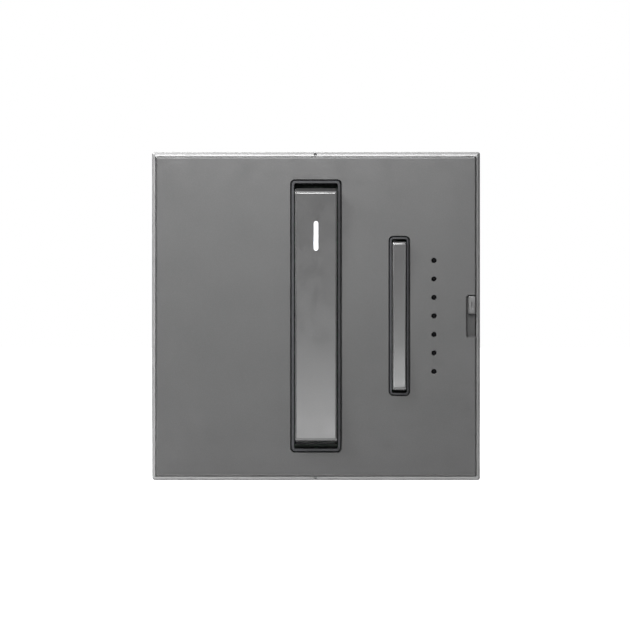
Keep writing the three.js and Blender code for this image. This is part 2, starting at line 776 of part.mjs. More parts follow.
function rearHousing() {
  const half = HOUSING / 2;
  const clear = HOUSING - 2 * WALL;
  const outline = roundedRectangle(HOUSING, HOUSING, 2);
  const outer = chamferedSlab(outline, HOUSING_FRONT, HOUSING_REAR, 0.8, "rear");
  const inside = slab(roundedRectangle(clear, clear, 1), HOUSING_FRONT - 1, HOUSING_REAR - REAR_WALL);
  const dividers = [-5.5, 5.5].map((x) => block([x - 0.45, x + 0.45], [15, 27], [-19, -7.8]));
  const guides = [-1, 1].flatMap((side) =>
    [-12, 12].map((z) => block(onSide(side, half - 0.5, half + 0.35), [3, 24], [z - 0.8, z + 0.8])),
  );
  const ears = [1, -1].flatMap(latchEars);
  const labelPanel = slab(roundedRectangle(18, 7, 0.5, 0, -4), HOUSING_REAR - 0.3, HOUSING_REAR + 1, 2);
  const stripGauge = block([8, 16], [13.4, 14.2], [19.6, 21]);
  return node(
    "rear_housing",
    cut(
      join(cut(outer, inside), ...housingColumns(), ...dividers, ...guides, ...ears),
      ...housingBores(),
      ...vents(),
      ...wireEntries(),
      labelPanel,
      stripGauge,
    ),
    DARK_PLASTIC,
  );
}

function housingScrew(index) {
  const [x, z] = screwPlaces[index];
  const screw = panScrew(1.85, 1.5, SCREW_PILOT - 0.05, 31.2);
  return placed(node("housing_screw_" + (index + 1), screw, STEEL), x, SCREW_SEAT + 0.1, z);
}

// A sprung tongue on two trunnions; its front end catches behind the mounting frame.
function latch(name, sign) {
  const { y, z, tip, reach, width } = LATCH;
  const tongue = polygon([
    [y, z - 0.5],
    [y + 0.35, z - 0.35],
    [y + 0.5, z],
    [y + 0.35, z + 0.35],
    [y, z + 0.5],
    [tip + 0.6, reach],
    [tip, reach - 0.15],
    [tip, reach - 0.75],
    [tip + 0.6, reach - 0.65],
  ]);
  const mesh = node(
    name,
    join(sideProfile(tongue, 0, width), bar("x", 0.38, [-5.2, 5.2], [y, z], 10)),
    STEEL,
  );
  mesh.rotation.y = sign > 0 ? 0 : Math.PI;
  return mesh;
}

// ---- the assembly -------------------------------------------------------------------------

const front = new THREE.Group();
front.add(
  bezelFrame(),
  facePlate(),
  collar("rocker_collar", ROCKER),
  collar("dimmer_collar", DIMMER),
  onOffRocker(),
  rockerIndicator(),
  dimmerRocker(),
  pivotPin("rocker_pivot_pin", ROCKER),
  pivotPin("dimmer_pivot_pin", DIMMER),
  levelLightGuide(),
  airGapTab(),
);

const control = new THREE.Group();
control.add(
  controlBoard(),
  switchBody("on_switch", ROCKER.x, ROCKER.foot),
  switchBody("off_switch", ROCKER.x, -ROCKER.foot),
  switchBody("raise_switch", DIMMER.x, DIMMER.foot),
  switchBody("lower_switch", DIMMER.x, -DIMMER.foot),
  plunger("on_plunger", ROCKER.x, ROCKER.foot),
  plunger("off_plunger", ROCKER.x, -ROCKER.foot),
  plunger("raise_plunger", DIMMER.x, DIMMER.foot),
  plunger("lower_plunger", DIMMER.x, -DIMMER.foot),
  ...levelPlaces().map((z, i) => lightSource("level_led_" + (i + 1), LEVEL.x, z)),
  lightSource("rocker_led", ROCKER.x, INDICATOR.z),
  airGapBridge(),
  airGapContact("air_gap_contact_upper", [2, 3.8]),
  airGapContact("air_gap_contact_lower", [-4.4, -0.6]),
  boardHeader(),
);

const power = new THREE.Group();
power.add(
  heatSinkYoke(),
  powerTransistor("power_transistor_left", -1),
  powerTransistor("power_transistor_right", 1),
  transistorScrew("transistor_screw_left", -1),
  transistorScrew("transistor_screw_right", 1),
  powerBoard(),
  chokeCore(),
  chokeWinding(),
  filmCapacitor(),
  bulkCapacitor(),
  surgeAbsorber(),
  fuse(),
  ...TERMINAL_X.map((x, i) => terminalBusbar("terminal_busbar_" + (i + 1), x)),
  ...TERMINAL_X.map((x, i) => terminalCage("terminal_cage_" + (i + 1), x)),
  ...TERMINAL_X.map((x, i) => terminalScrew("terminal_screw_" + (i + 1), x)),
);

const rear = new THREE.Group();
rear.add(
  rearHousing(),
  ...corners.map((_, i) => housingScrew(i)),
  latch("upper_latch", 1),
  latch("lower_latch", -1),
);

const dimmer = new THREE.Group();
dimmer.add(front, control, power, rear);

export default dimmer;
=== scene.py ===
"""Looks of a 45 mm dimmer switch module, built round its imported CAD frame."""

import json
import math

import bmesh
import bpy
from mathutils import Matrix, Vector

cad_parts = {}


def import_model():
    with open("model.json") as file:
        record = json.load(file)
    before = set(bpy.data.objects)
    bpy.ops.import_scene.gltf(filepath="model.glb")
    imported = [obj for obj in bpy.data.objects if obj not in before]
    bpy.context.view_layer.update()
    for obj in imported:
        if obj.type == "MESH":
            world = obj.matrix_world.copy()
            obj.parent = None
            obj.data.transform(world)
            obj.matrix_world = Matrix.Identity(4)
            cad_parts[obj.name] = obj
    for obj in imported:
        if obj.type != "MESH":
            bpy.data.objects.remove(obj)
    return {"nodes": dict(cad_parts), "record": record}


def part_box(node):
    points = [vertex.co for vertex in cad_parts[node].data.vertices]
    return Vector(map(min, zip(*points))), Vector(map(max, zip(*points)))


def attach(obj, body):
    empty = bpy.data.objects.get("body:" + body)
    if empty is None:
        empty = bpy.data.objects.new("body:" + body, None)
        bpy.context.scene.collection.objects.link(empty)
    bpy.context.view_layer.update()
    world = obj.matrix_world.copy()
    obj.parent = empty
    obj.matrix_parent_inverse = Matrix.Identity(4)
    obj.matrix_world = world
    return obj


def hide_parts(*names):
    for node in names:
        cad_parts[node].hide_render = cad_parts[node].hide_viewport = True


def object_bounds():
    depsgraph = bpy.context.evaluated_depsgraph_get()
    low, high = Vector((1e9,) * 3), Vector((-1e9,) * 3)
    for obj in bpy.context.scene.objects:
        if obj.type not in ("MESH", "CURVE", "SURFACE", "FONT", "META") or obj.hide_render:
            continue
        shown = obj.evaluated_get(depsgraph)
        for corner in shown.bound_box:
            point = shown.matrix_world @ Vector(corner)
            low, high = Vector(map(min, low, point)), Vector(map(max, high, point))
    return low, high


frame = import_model()
CAD_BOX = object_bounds()
MM = 0.001  # shapes are modelled in millimetres and scaled to metres when they are placed

# The front face looks towards -Y, and heights run along Z. All in millimetres.
CORNERS = [(sx, sz) for sx in (1, -1) for sz in (1, -1)]
HOOKS = ((-1, 10), (-1, -10), (1, 10.5), (1, -10.5))  # side and height of the plate's four catches
POCKET_FLOOR = -7.1  # what the plate rests on in the bezel
HOLLOW_HALF = 20.2  # half the clear width behind the plate
TOP_DROP = 0.15  # the bezel's upper rim is this much wider than its other rims
NOTCH_LEFT, NOTCH_LOW, NOTCH_HIGH = 20.72, -2.75, 2.79  # the slide's notch in the plate's right edge
SLIDE_ROOM = (-6.8, 6.2)  # heights of the channel that the slide runs in
FLANGE = 0.6  # width of a collar's flange behind the plate
COLLAR_GAP = {"rocker_collar": 0.15, "dimmer_collar": 0.14}  # gap between plate and collar
HOUSING_HALF = 20.0
LATCH_AXIS = 20.75  # height of the latches' trunnions
LABEL_Z = -4  # middle of the blank label on the back


def box(node):
    """Lowest and highest corner of a CAD node at rest, in millimetres."""
    low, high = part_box(node)
    return low / MM, high / MM


def centre(node):
    """Middle of a CAD node's box, as x, y and z in millimetres."""
    low, high = box(node)
    return tuple((a + b) / 2 for a, b in zip(low, high))


# ---- outlines -------------------------------------------------------------------------------


def rounded(width, height, radius, x=0.0, z=0.0, steps=6):
    """A rectangle with round corners, anticlockwise."""
    points = []
    for sx, sz, start in ((1, -1, -90), (1, 1, 0), (-1, 1, 90), (-1, -1, 180)):
        corner_x = x + sx * (width / 2 - radius)
        corner_z = z + sz * (height / 2 - radius)
        for i in range(steps + 1):
            turn = math.radians(start + 90 * i / steps)
            points.append((corner_x + radius * math.cos(turn), corner_z + radius * math.sin(turn)))
    return points


def circle(radius, x=0.0, z=0.0, steps=32):
    """A circle, anticlockwise."""
    turns = [2 * math.pi * i / steps for i in range(steps)]
    return [(x + radius * math.cos(t), z + radius * math.sin(t)) for t in turns]


def curve(start, corner, end, steps):
    """Vectors along a smooth turn from start to end that leans towards a corner."""
    a, b, c = Vector(start), Vector(corner), Vector(end)
    stations = [k / steps for k in range(steps + 1)]
    return [a * (1 - t) ** 2 + b * 2 * t * (1 - t) + c * t * t for t in stations]


def with_neighbours(points):
    """Each point of an outline, between the point before it and the point after it."""
    for i, point in enumerate(points):
        yield Vector(points[i - 1]), Vector(point), Vector(points[(i + 1) % len(points)])


def inset(points, amount):
    """An anticlockwise outline with every side moved in by an amount."""
    moved = []
    for before, here, after in with_neighbours(points):
        one = (here - before).normalized()
        two = (after - here).normalized()
        inward = Vector((-one.y - two.y, one.x + two.x))
        moved.append(here + inward * amount / max(0.3, 1 + one.dot(two)))
    return [(p.x, p.y) for p in moved]


def soften(points, radius, steps=4):
    """An outline with each of its corners rounded."""
    smooth = []
    for before, here, after in with_neighbours(points):
        reach_in = min(radius, (here - before).length * 0.48)
        reach_out = min(radius, (after - here).length * 0.48)
        start = here + (before - here).normalized() * reach_in
        end = here + (after - here).normalized() * reach_out
        smooth += [(p.x, p.y) for p in curve(start, here, end, steps)]
    return smooth


def mirrored(points, sign):
    """An anticlockwise outline, or for sign -1 its mirror image in the second axis."""
    return points if sign > 0 else [(a, -b) for a, b in reversed(points)]


# ---- solids ---------------------------------------------------------------------------------

ALONG = {
    "x": lambda u, v, d: (d, u, v),  # outline in Y and Z
    "y": lambda u, v, d: (u, d, v),  # outline in X and Z
    "z": lambda u, v, d: (u, v, d),  # outline in X and Y
}
ON_AXIS = 1e-6  # a smaller radius is a point


def from_bmesh(bm):
    """A new object from a finished bmesh, its faces pointing out."""
    bmesh.ops.recalc_face_normals(bm, faces=bm.faces)
    mesh = bpy.data.meshes.new("part")
    bm.to_mesh(mesh)
    bm.free()
    obj = bpy.data.objects.new("part", mesh)
    bpy.context.scene.collection.objects.link(obj)
    return obj


def bridge(bm, one, two):
    """A band of quads between two loops of equal count."""
    for j in range(len(one)):
        k = (j + 1) % len(one)
        bm.faces.new((one[j], one[k], two[k], two[j]))


def skin(rings, closed=False):
    """A surface over rings of equal count: capped at both ends, or closed on itself."""
    bm = bmesh.new()
    loops = [[bm.verts.new(p) for p in ring] for ring in rings]
    for one, two in zip(loops, loops[1:]):
        bridge(bm, one, two)
    if closed:
        bridge(bm, loops[-1], loops[0])
    else:
        bm.faces.new(loops[0])
        bm.faces.new(loops[-1])
    return from_bmesh(bm)


def quarter(radius, steps=3):
    """(inset, distance from the end) pairs of a rounded edge, from the end face to the side."""
    if not radius:
        return [(0, 0)]
    turns = [math.pi / 2 * (1 - i / steps) for i in range(steps + 1)]
    return [(radius * (1 - math.cos(t)), radius * (1 - math.sin(t))) for t in turns]


def slab(outline, low, high, axis="y", holes=(), low_edge=0.0, high_edge=0.0, hole_edge=0.0,
         steps=3, hole_steps=3):
    """An outline carried along an axis, with rounded end edges and holes through it."""
    bm = bmesh.new()
    caps = ([], [])
    for points, sign, edge in [(outline, 1, low_edge)] + [(h, -1, hole_edge) for h in holes]:
        far = high_edge if sign > 0 else 0
        count = steps if sign > 0 else hole_steps
        levels = [(i, low + d) for i, d in quarter(edge, count)]
        levels += [(i, high - d) for i, d in reversed(quarter(far, count))]
        loops = [
            [bm.verts.new(ALONG[axis](u, v, depth)) for u, v in inset(points, sign * by)]
            for by, depth in levels
        ]
        for one, two in zip(loops, loops[1:]):
            bridge(bm, one, two)
        for cap, loop in zip(caps, (loops[0], loops[-1])):
            cap += [bm.edges.get((loop[j - 1], loop[j])) for j in range(len(loop))]
    for cap in caps:
        bmesh.ops.triangle_fill(bm, edges=cap, use_beauty=True, use_dissolve=False)
    return from_bmesh(bm)


def brick(x, y, z, edge=0.0, steps=2):
    """A box between two stations on each axis, its front and rear edges rounded."""
    outline = rounded(x[1] - x[0], z[1] - z[0], max(edge, 0.02), sum(x) / 2, sum(z) / 2, 3)
    return slab(outline, *y, low_edge=edge * 0.95, high_edge=edge * 0.95, steps=steps)


def lathe(profile, place, axis="y", steps=40):
    """A turned solid from (radius, station) pairs; the first and the last lie on the axis."""
    a, b = place
    at = ALONG[axis]
    bm = bmesh.new()
    rings = []
    for radius, depth in profile:
        ring = [(a, b)] if radius < ON_AXIS else circle(radius, a, b, steps)
        rings.append([bm.verts.new(at(u, v, depth)) for u, v in ring])
    for one, two in zip(rings, rings[1:]):
        if len(one) == 1 or len(two) == 1:
            tip, loop = (one, two) if len(one) == 1 else (two, one)
            for j in range(len(loop)):
                bm.faces.new((tip[0], loop[j], loop[(j + 1) % len(loop)]))
        else:
            bridge(bm, one, two)
    return from_bmesh(bm)


def rod(radius, low, high, place, axis="y", edge=0.0, steps=24):
    """A round bar with softened ends."""
    edge = edge or radius * 0.12
    ends = [(radius - i, d) for i, d in quarter(edge)]
    profile = [(0, low)] + [(r, low + d) for r, d in ends]
    profile += [(r, high - d) for r, d in reversed(ends)] + [(0, high)]
    return lathe(profile, place, axis, steps)


def apply(obj):
    """Makes an object's modifiers part of its mesh."""
    graph = bpy.context.evaluated_depsgraph_get()
    mesh = bpy.data.meshes.new_from_object(obj.evaluated_get(graph))
    obj.modifiers.clear()
    obj.data = mesh
    return obj


def together(objects):
    """Several separate solids as one object."""
    bm = bmesh.new()
    for obj in objects:
        bm.from_mesh(obj.data)
        bpy.data.objects.remove(obj)
    return from_bmesh(bm)


def combine(obj, others, operation):
    """Adds or takes away other solids, one after another, and uses them up."""
    for other in others:
        step = obj.modifiers.new("step", "BOOLEAN")
        step.solver = "EXACT"
        step.operation = operation
        step.object = other
        apply(obj)
        bpy.data.objects.remove(other)
    return obj


def join(obj, *others):
    """Adds solids, one after another."""
    return combine(obj, others, "UNION")


def cut(obj, *cutters):
    """Cuts with solids that are clear of each other, in one step."""
    return combine(obj, [together(cutters)], "DIFFERENCE")


def mark_edges(mesh):
    """A face attribute that is 1 on the narrow faces of rounded edges, where handling shows; lacquer also
    paints highlight lines there.
    """
    widest = 0.4 * MM
    least_bend, most_bend = math.radians(5), math.radians(60)
    bm = bmesh.new()
    bm.from_mesh(mesh)
    edge_wear_and_highlight = []
    for face in bm.faces:
        sides = sorted(face.edges, key=lambda edge: edge.calc_length())
        width = face.calc_area() / sides[-1].calc_length()
        turns = [edge.calc_face_angle(0) for edge in sides[-2:]]
        bends = least_bend < min(turns) and max(turns) < most_bend
        edge_wear_and_highlight.append(float(width < widest and bends))
    bm.free()
    mesh.attributes.new("edge_wear_and_highlight", "FLOAT", "FACE").data.foreach_set("value", edge_wear_and_highlight)


def put(obj, name, body, slot, nodes=(), angle=32, look=None):
    """Scales a finished shape to metres, shades it and ties it to the frame."""
    obj.name = obj.data.name = name
    obj.data.transform(Matrix.Scale(MM, 4))
    obj.data.materials.clear()
    obj.data.materials.append(look or LOOKS[slot])
    mark_edges(obj.data)
    obj.data.polygons.foreach_set("use_smooth", [True] * len(obj.data.polygons))
    obj.data.set_sharp_from_angle(angle=math.radians(angle))
    weighted = obj.modifiers.new("normals", "WEIGHTED_NORMAL")
    weighted.keep_sharp = True
    weighted.weight = 90
    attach(obj, body)
    if nodes:
        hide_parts(*nodes)
    return obj


# ---- materials ------------------------------------------------------------------------------


class Look:
    """A procedural material under construction; sizes are in millimetres on the object."""

    def __init__(self, name, roughness, metallic=0.0, **sockets):
        self.material = bpy.data.materials.new(name)
        self.material.use_nodes = True
        self.tree = self.material.node_tree
        self.shader = self.tree.nodes["Principled BSDF"]
        self.where = self.tree.nodes.new("ShaderNodeTexCoord").outputs["Object"]
        self.shader.inputs["Roughness"].default_value = roughness
        self.shader.inputs["Metallic"].default_value = metallic
        for socket, value in sockets.items():
            self.shader.inputs[socket.replace("_", " ")].default_value = value
        self.height = None

    def node(self, kind, inputs=(), **settings):
        """A new node; an input that is a socket is linked, and any other is set."""
        node = self.tree.nodes.new("ShaderNode" + kind)
        for key, value in settings.items():
            setattr(node, key, value)
        for key, value in dict(inputs).items():
            if isinstance(value, bpy.types.NodeSocket):
                self.tree.links.new(value, node.inputs[key])
            else:
                node.inputs[key].default_value = value
        return node

    def drive(self, socket, value):
        """Links a value to one of the shader's sockets."""
        self.tree.links.new(value, self.shader.inputs[socket])

    def noise(self, size, detail=2.0, stretch=(1, 1, 1), roughness=0.5):
        where = self.where
        if stretch != (1, 1, 1):
            where = self.node("Mapping", {"Vector": where, "Scale": stretch}).outputs["Vector"]
        inputs = {"Vector": where, "Scale": 1 / (size * MM), "Detail": detail, "Roughness": roughness}
        return self.node("TexNoise", inputs).outputs["Fac"]

    def ramp(self, value, low, high, to_low=0.0, to_high=1.0):
        inputs = {"Value": value, "From Min": low, "From Max": high, "To Min": to_low, "To Max": to_high}
        return self.node("MapRange", inputs).outputs["Result"]

    def times(self, one, two):
        return self.node("Math", {0: one, 1: two}, operation="MULTIPLY").outputs[0]

    def mix(self, factor, one, two):
        """One colour turning into the other as the factor goes from 0 to 1."""
        node = self.node("Mix", {0: factor}, data_type="RGBA")
        for key, value in ((6, one), (7, two)):
            if isinstance(value, bpy.types.NodeSocket):
                self.tree.links.new(value, node.inputs[key])
            else:
                node.inputs[key].default_value = (*value, 1)
        return node.outputs[2]

    def paint(self, colour):
        self.drive("Base Color", colour)

    def gloss(self, value, low, high):
        """Roughness between two values, following a noise."""
        self.drive("Roughness", self.ramp(value, 0.3, 0.7, low, high))

    def bump(self, value, depth, strength=1.0):
        """Adds one more layer of relief to those already there."""
        inputs = {"Height": value, "Distance": depth * MM, "Strength": strength}
        if self.height is not None:
            inputs["Normal"] = self.height
        self.height = self.node("Bump", inputs).outputs["Normal"]
        self.drive("Normal", self.height)

    def edge_wear_and_highlight(self):
        return self.node("Attribute", attribute_name="edge_wear_and_highlight").outputs["Fac"]


def shade(colour, factor):
    """A lighter or darker version of a colour."""
    return tuple(min(1.0, c * factor) for c in colour)


def lacquer(name, colour, roughness, metallic, edge_colour_wear_and_highlight, flake=0.1, edge_gloss=0.6,
            peel=0.003, vary=0.05):
    """Metallic lacquer on moulded plastic: fine flake, faint orange peel, and lighter narrow edge faces,
    partly handling wear and partly a painted highlight.
    """
    look = Look(name, roughness, metallic, Specular_IOR_Level=0.5, Coat_Weight=0.1, Coat_Roughness=0.3)
    broad = look.noise(9, 3)
    flakes = look.noise(0.11, 1)
    base = look.mix(look.ramp(broad, 0.3, 0.7), shade(colour, 0.96), shade(colour, 1.04))
    base = look.mix(look.ramp(flakes, 0.5, 0.8, 0, flake), base, shade(colour, 2.2))
    base = look.mix(look.ramp(flakes, 0.5, 0.2, 0, flake), base, shade(colour, 0.4))
    # Narrow edge faces take the edge colour: handling wear, and a painted highlight line along the rounded
    # edges.
    edge_lightening = look.times(look.edge_wear_and_highlight(), look.ramp(look.noise(1.4, 4), 0.35, 0.8, 0.45, 0.75))
    look.paint(look.mix(edge_lightening, base, edge_colour_wear_and_highlight))
    grain = look.ramp(look.noise(2.2, 4), 0.3, 0.7, roughness - vary, roughness + vary)
    polished = look.ramp(look.edge_wear_and_highlight(), 0, 1, 1, edge_gloss)
    look.drive("Roughness", look.times(grain, polished))
    look.bump(look.noise(0.5, 2), peel)
    look.bump(flakes, peel / 2)
    return look.material


def moulded(name, colour, roughness, grain=0.25, depth=0.006, tone=0.1, edge_lightening=1.5):
    """Moulded plastic with a spark-eroded texture and faint flow marks."""
    look = Look(name, roughness)
    flow = look.noise(7, 4, (1, 0.45, 1))
    fine = look.noise(grain, 3)
    base = look.mix(look.ramp(flow, 0.3, 0.7), shade(colour, 1 - tone), shade(colour, 1 + tone))
    base = look.mix(look.ramp(fine, 0.45, 0.75, 0, 0.35), base, shade(colour, 1.35))
    edge = look.times(look.edge_wear_and_highlight(), look.ramp(look.noise(0.9, 3), 0.4, 0.75))
    look.paint(look.mix(edge, base, shade(colour, edge_lightening)))
    look.gloss(fine, roughness - 0.07, roughness + 0.09)
    look.bump(fine, depth)
    look.bump(look.noise(3.5, 2), 0.008)
    return look.material


def metal(name, colour, roughness, stretch=(1, 1, 1), grain=0.12, depth=0.002, stain=0.12, dull=0.7):
    """Plated or bare metal: drawn or tumbled grain, handling stains, brighter edges."""
    look = Look(name, roughness, 1.0)
    lines = look.noise(grain, 3, stretch)
    stains = look.noise(2.6, 5, roughness=0.6)
    base = look.mix(look.ramp(lines, 0.3, 0.7), shade(colour, 0.93), shade(colour, 1.05))
    base = look.mix(look.ramp(stains, 0.5, 0.8, 0, stain * 3), base, shade(colour, dull))
    edge = look.times(look.edge_wear_and_highlight(), look.ramp(stains, 0.3, 0.6))
    look.paint(look.mix(edge, base, shade(colour, 1.2)))
    look.gloss(stains, roughness - 0.06, roughness + 0.12)
    look.bump(lines, depth)
    return look.material


def circuit_board():
    """Green solder mask over copper tracks, with rows of tinned pads."""
    pitch = 2.54
    look = Look("board", 0.34, Specular_IOR_Level=0.5, Coat_Weight=0.3, Coat_Roughness=0.15)
    turned = look.node("Mapping", {"Vector": look.where, "Rotation": (math.pi / 2, 0, 0)}).outputs[0]
    inputs = {"Vector": turned, "Scale": 1 / (2 * pitch * MM), "Mortar Size": 0.055, "Mortar Smooth": 0.2}
    inputs |= {"Brick Width": 1.9, "Row Height": 0.5}
    inputs |= {"Color1": (0, 0, 0, 1), "Color2": (0.25, 0.25, 0.25, 1), "Mortar": (1, 1, 1, 1)}
    tracks = look.node("TexBrick", inputs).outputs["Color"]
    mask = look.mix(look.ramp(look.noise(6, 3), 0.3, 0.7), (0.004, 0.03, 0.013), (0.006, 0.042, 0.018))
    mask = look.mix(look.ramp(tracks, 0.5, 0.9), mask, (0.01, 0.075, 0.03))
    pad_inputs = {"Vector": turned, "Scale": 1 / (pitch * MM), "Randomness": 0.0}
    pads = look.node("TexVoronoi", pad_inputs).outputs["Distance"]
    chosen = look.times(look.ramp(pads, 0.2, 0.16), look.ramp(look.noise(7, 1), 0.52, 0.56))
    look.paint(look.mix(chosen, mask, (0.62, 0.6, 0.55)))
    look.drive("Metallic", look.times(chosen, 0.9))
    look.bump(tracks, 0.03)
    look.bump(look.noise(0.2, 2), 0.003)
    return look.material


def wound_wire():
    """Enamelled copper wire."""
    look = Look("copper_enamel", 0.24, 1.0, Coat_Weight=0.8, Coat_Roughness=0.12)
    broad = look.noise(1.2, 4)
    look.paint(look.mix(look.ramp(broad, 0.3, 0.7), (0.42, 0.13, 0.035), (0.62, 0.24, 0.07)))
    look.gloss(broad, 0.18, 0.32)
    look.bump(look.noise(0.3, 2), 0.004)
    return look.material


def smoked_lens():
    """Near-black plastic that lets a light through only when it is lit."""
    look = Look("smoked_lens", 0.5, Specular_IOR_Level=0.1)
    cloud = look.noise(0.5, 3)
    look.paint(look.mix(look.ramp(cloud, 0.3, 0.7), (0.003, 0.003, 0.004), (0.007, 0.007, 0.008)))
    look.gloss(cloud, 0.4, 0.55)
    look.bump(look.noise(0.15, 2), 0.001)
    return look.material


def lit_bar_look():
    """Milky light guide, lit from behind, its glow a little uneven."""
    look = Look("lit_bar", 0.35, Emission_Strength=1.1, Subsurface_Weight=0.2)
    cloud = look.noise(0.7, 3)
    look.paint(look.mix(look.ramp(cloud, 0.3, 0.7), (0.86, 0.87, 0.88), (0.94, 0.94, 0.94)))
    look.drive("Emission Color", look.mix(look.ramp(cloud, 0.2, 0.8), (0.92, 0.95, 1.0), (1.0, 1.0, 1.0)))
    look.gloss(cloud, 0.3, 0.4)
    look.bump(look.noise(0.12, 2), 0.001)
    return look.material


def label_look():
    """A blank printed-film label with faint fibres."""
    look = Look("label_film", 0.45, Coat_Weight=0.2, Coat_Roughness=0.3)
    fibres = look.noise(0.5, 4, (0.3, 1, 1.6))
    look.paint(look.mix(look.ramp(fibres, 0.3, 0.7), (0.5, 0.51, 0.51), (0.6, 0.61, 0.61)))
    look.gloss(fibres, 0.4, 0.52)
    look.bump(fibres, 0.004)
    return look.material


GRAPHITE = (0.101, 0.101, 0.1013)
SILVER = (0.334, 0.334, 0.335)
# The silver rim's edge colour, a little lighter: wear and a painted highlight line.
SILVER_EDGE_WEAR_AND_HIGHLIGHT = (0.36, 0.36, 0.361)
LOOKS = {
    # The graphite's edge colour, twice as light, paints the bright highlight lines on the plate's rounded
    # edges.
    "graphite": lacquer("graphite", GRAPHITE, 0.4, 0.6, shade(GRAPHITE, 2.0)),
    "silver": lacquer("silver", SILVER, 0.36, 0.6, SILVER_EDGE_WEAR_AND_HIGHLIGHT, 0.01, 1.0, 0.001, 0.015),
    "dark_plastic": moulded("dark_plastic", (0.028, 0.029, 0.032), 0.5),
    "smoked": smoked_lens(),
    "lit_white": lit_bar_look(),
    "light_plastic": moulded("light_plastic", (0.66, 0.67, 0.64), 0.42, tone=0.03, edge_lightening=1.1),
    "steel": metal("steel", (0.56, 0.57, 0.58), 0.34, (1, 1, 0.12)),
    "brass": metal("brass", (0.66, 0.44, 0.16), 0.34, (0.15, 1, 1), stain=0.2, dull=0.5),
    "copper": wound_wire(),
    "aluminium": metal("aluminium", (0.62, 0.63, 0.65), 0.36, (0.08, 1, 1), 0.2, 0.003),
    "board": circuit_board(),
    "black_epoxy": moulded("black_epoxy", (0.014, 0.014, 0.015), 0.42, 0.18, 0.005, edge_lightening=2.0),
    "ferrite": moulded("ferrite", (0.28, 0.33, 0.08), 0.55, 0.4, 0.012, 0.15, 1.3),
    "blue_epoxy": moulded("blue_epoxy", (0.035, 0.12, 0.36), 0.22, 1.2, 0.02, 0.12, 1.2),
}

# Copies of the graphite, some with their own roughness: lighter as painted light on the rockers and the
# knob, darker as painted shade on the shutter.
ROCKER_LIT_GRAPHITE = shade(GRAPHITE, 1.24)
KNOB_LIT_GRAPHITE = shade(GRAPHITE, 1.45)
SHUTTER_SHADED_GRAPHITE = shade(GRAPHITE, 0.8)
# The rockers' edge colour, 1.9 times their graphite, paints their bright highlight lines.
ROCKER_LOOK = lacquer("graphite_satin_painted_light", ROCKER_LIT_GRAPHITE, 0.335, 0.7, shade(ROCKER_LIT_GRAPHITE, 1.9), 0.05)
KNOB_LOOK = lacquer("graphite_knob_painted_light", KNOB_LIT_GRAPHITE, 0.36, 0.6, shade(KNOB_LIT_GRAPHITE, 1.1), 0.03)
SHUTTER_LOOK = lacquer("graphite_shutter_painted_shade", SHUTTER_SHADED_GRAPHITE, 0.4, 0.6, shade(GRAPHITE, 0.9), 0.05)
PIN_LOOK = metal("blackened_steel", (0.05, 0.05, 0.055), 0.4, (0.2, 1, 1))

# ---- front ----------------------------------------------------------------------------------


def screw_places():
    """X and Z of the four housing screws."""
    at = centre("housing_screw_1")[0]
    return [(sx * at, sz * at) for sx, sz in CORNERS]


def bezel_shell(half, front, rear):
    """The bezel's frame, as one section carried round a square."""
    plate_low, _ = box("face_plate")
    pocket_half = 0.07 - plate_low.x  # a fine gap round the plate
    rim, corner, arc_steps = 0.46, 0.32, 7
    path = [(half, rear - 0.15, corner, 0), (half, front + rim, corner, 0)]
    for i in range(1, arc_steps + 1):
        turn = math.pi / 2 * i / arc_steps
        back = rim * (1 - math.cos(turn))
        path.append((half - back, front + rim * (1 - math.sin(turn)), max(corner - back, 0.06), 0))
    path += [
        (pocket_half + 0.02, front, 0.2, TOP_DROP),
        (pocket_half, front + 0.03, 0.2, TOP_DROP),
        (pocket_half, POCKET_FLOOR, 0.2, TOP_DROP),
        (HOLLOW_HALF, POCKET_FLOOR, 0.8, 0),
        (HOLLOW_HALF, rear - 0.15, 0.8, 0),
        (HOLLOW_HALF + 0.1, rear, 0.8, 0),
        (half - 0.12, rear, corner, 0),
    ]
    rings = []
    for w, y, radius, drop in path:
        outline = rounded(2 * w, 2 * w - drop, radius, 0, -drop / 2, 8)
        rings.append([(x, y, z) for x, z in outline])
    return skin(rings, closed=True)


def bezel():
    """A square frame: rounded front rim, pocket for the plate, hollow for the works."""
    low, high = box("bezel_frame")
    half, front = high.x, low.y
    shell = bezel_shell(half, front, high.y)
    boss_radius, boss_front, boss_rear = 2.2, POCKET_FLOOR - 0.3, -1.9
    bosses = []
    for x, z in screw_places():
        side = HOLLOW_HALF + 0.4
        pillar = rod(boss_radius, boss_front, boss_rear, (x, z), steps=32)
        web_x = sorted((x, math.copysign(side, x)))
        web_z = sorted((z, math.copysign(side, z)))
        bosses.append(join(pillar, brick(web_x, (boss_front, boss_rear - 0.1), web_z, 0.1)))
    join(shell, *bosses)
    pry_radius, pry_bottom, pry_x, pry_margin = 0.21, -7.6, -0.1, 0.35
    pry_holes = [rod(pry_radius, front - 1, pry_bottom, (pry_x, s * (half - pry_margin))) for s in (1, -1)]
    pilot_radius, pilot_bottom = 0.85, -6.4
    pilots = [rod(pilot_radius, pilot_bottom, 0.5, place) for place in screw_places()]
    slide_right = box("air_gap_tab")[1].x + 0.12
    channel = brick((HOLLOW_HALF - 1, slide_right), (-8, -3.6), SLIDE_ROOM, 0.05)
    catch_depths, catch_half = (-5.7, -4.2), 2
    catches = []
    for s, z in HOOKS:
        across = sorted((s * (HOLLOW_HALF - 1), s * (HOLLOW_HALF + 0.7)))
        catches.append(brick(across, catch_depths, (z - catch_half, z + catch_half), 0.05))
    cut(shell, *pry_holes, *pilots, channel, *catches)
    put(shell, "bezel_surround", "module", "silver", ["bezel_frame"])


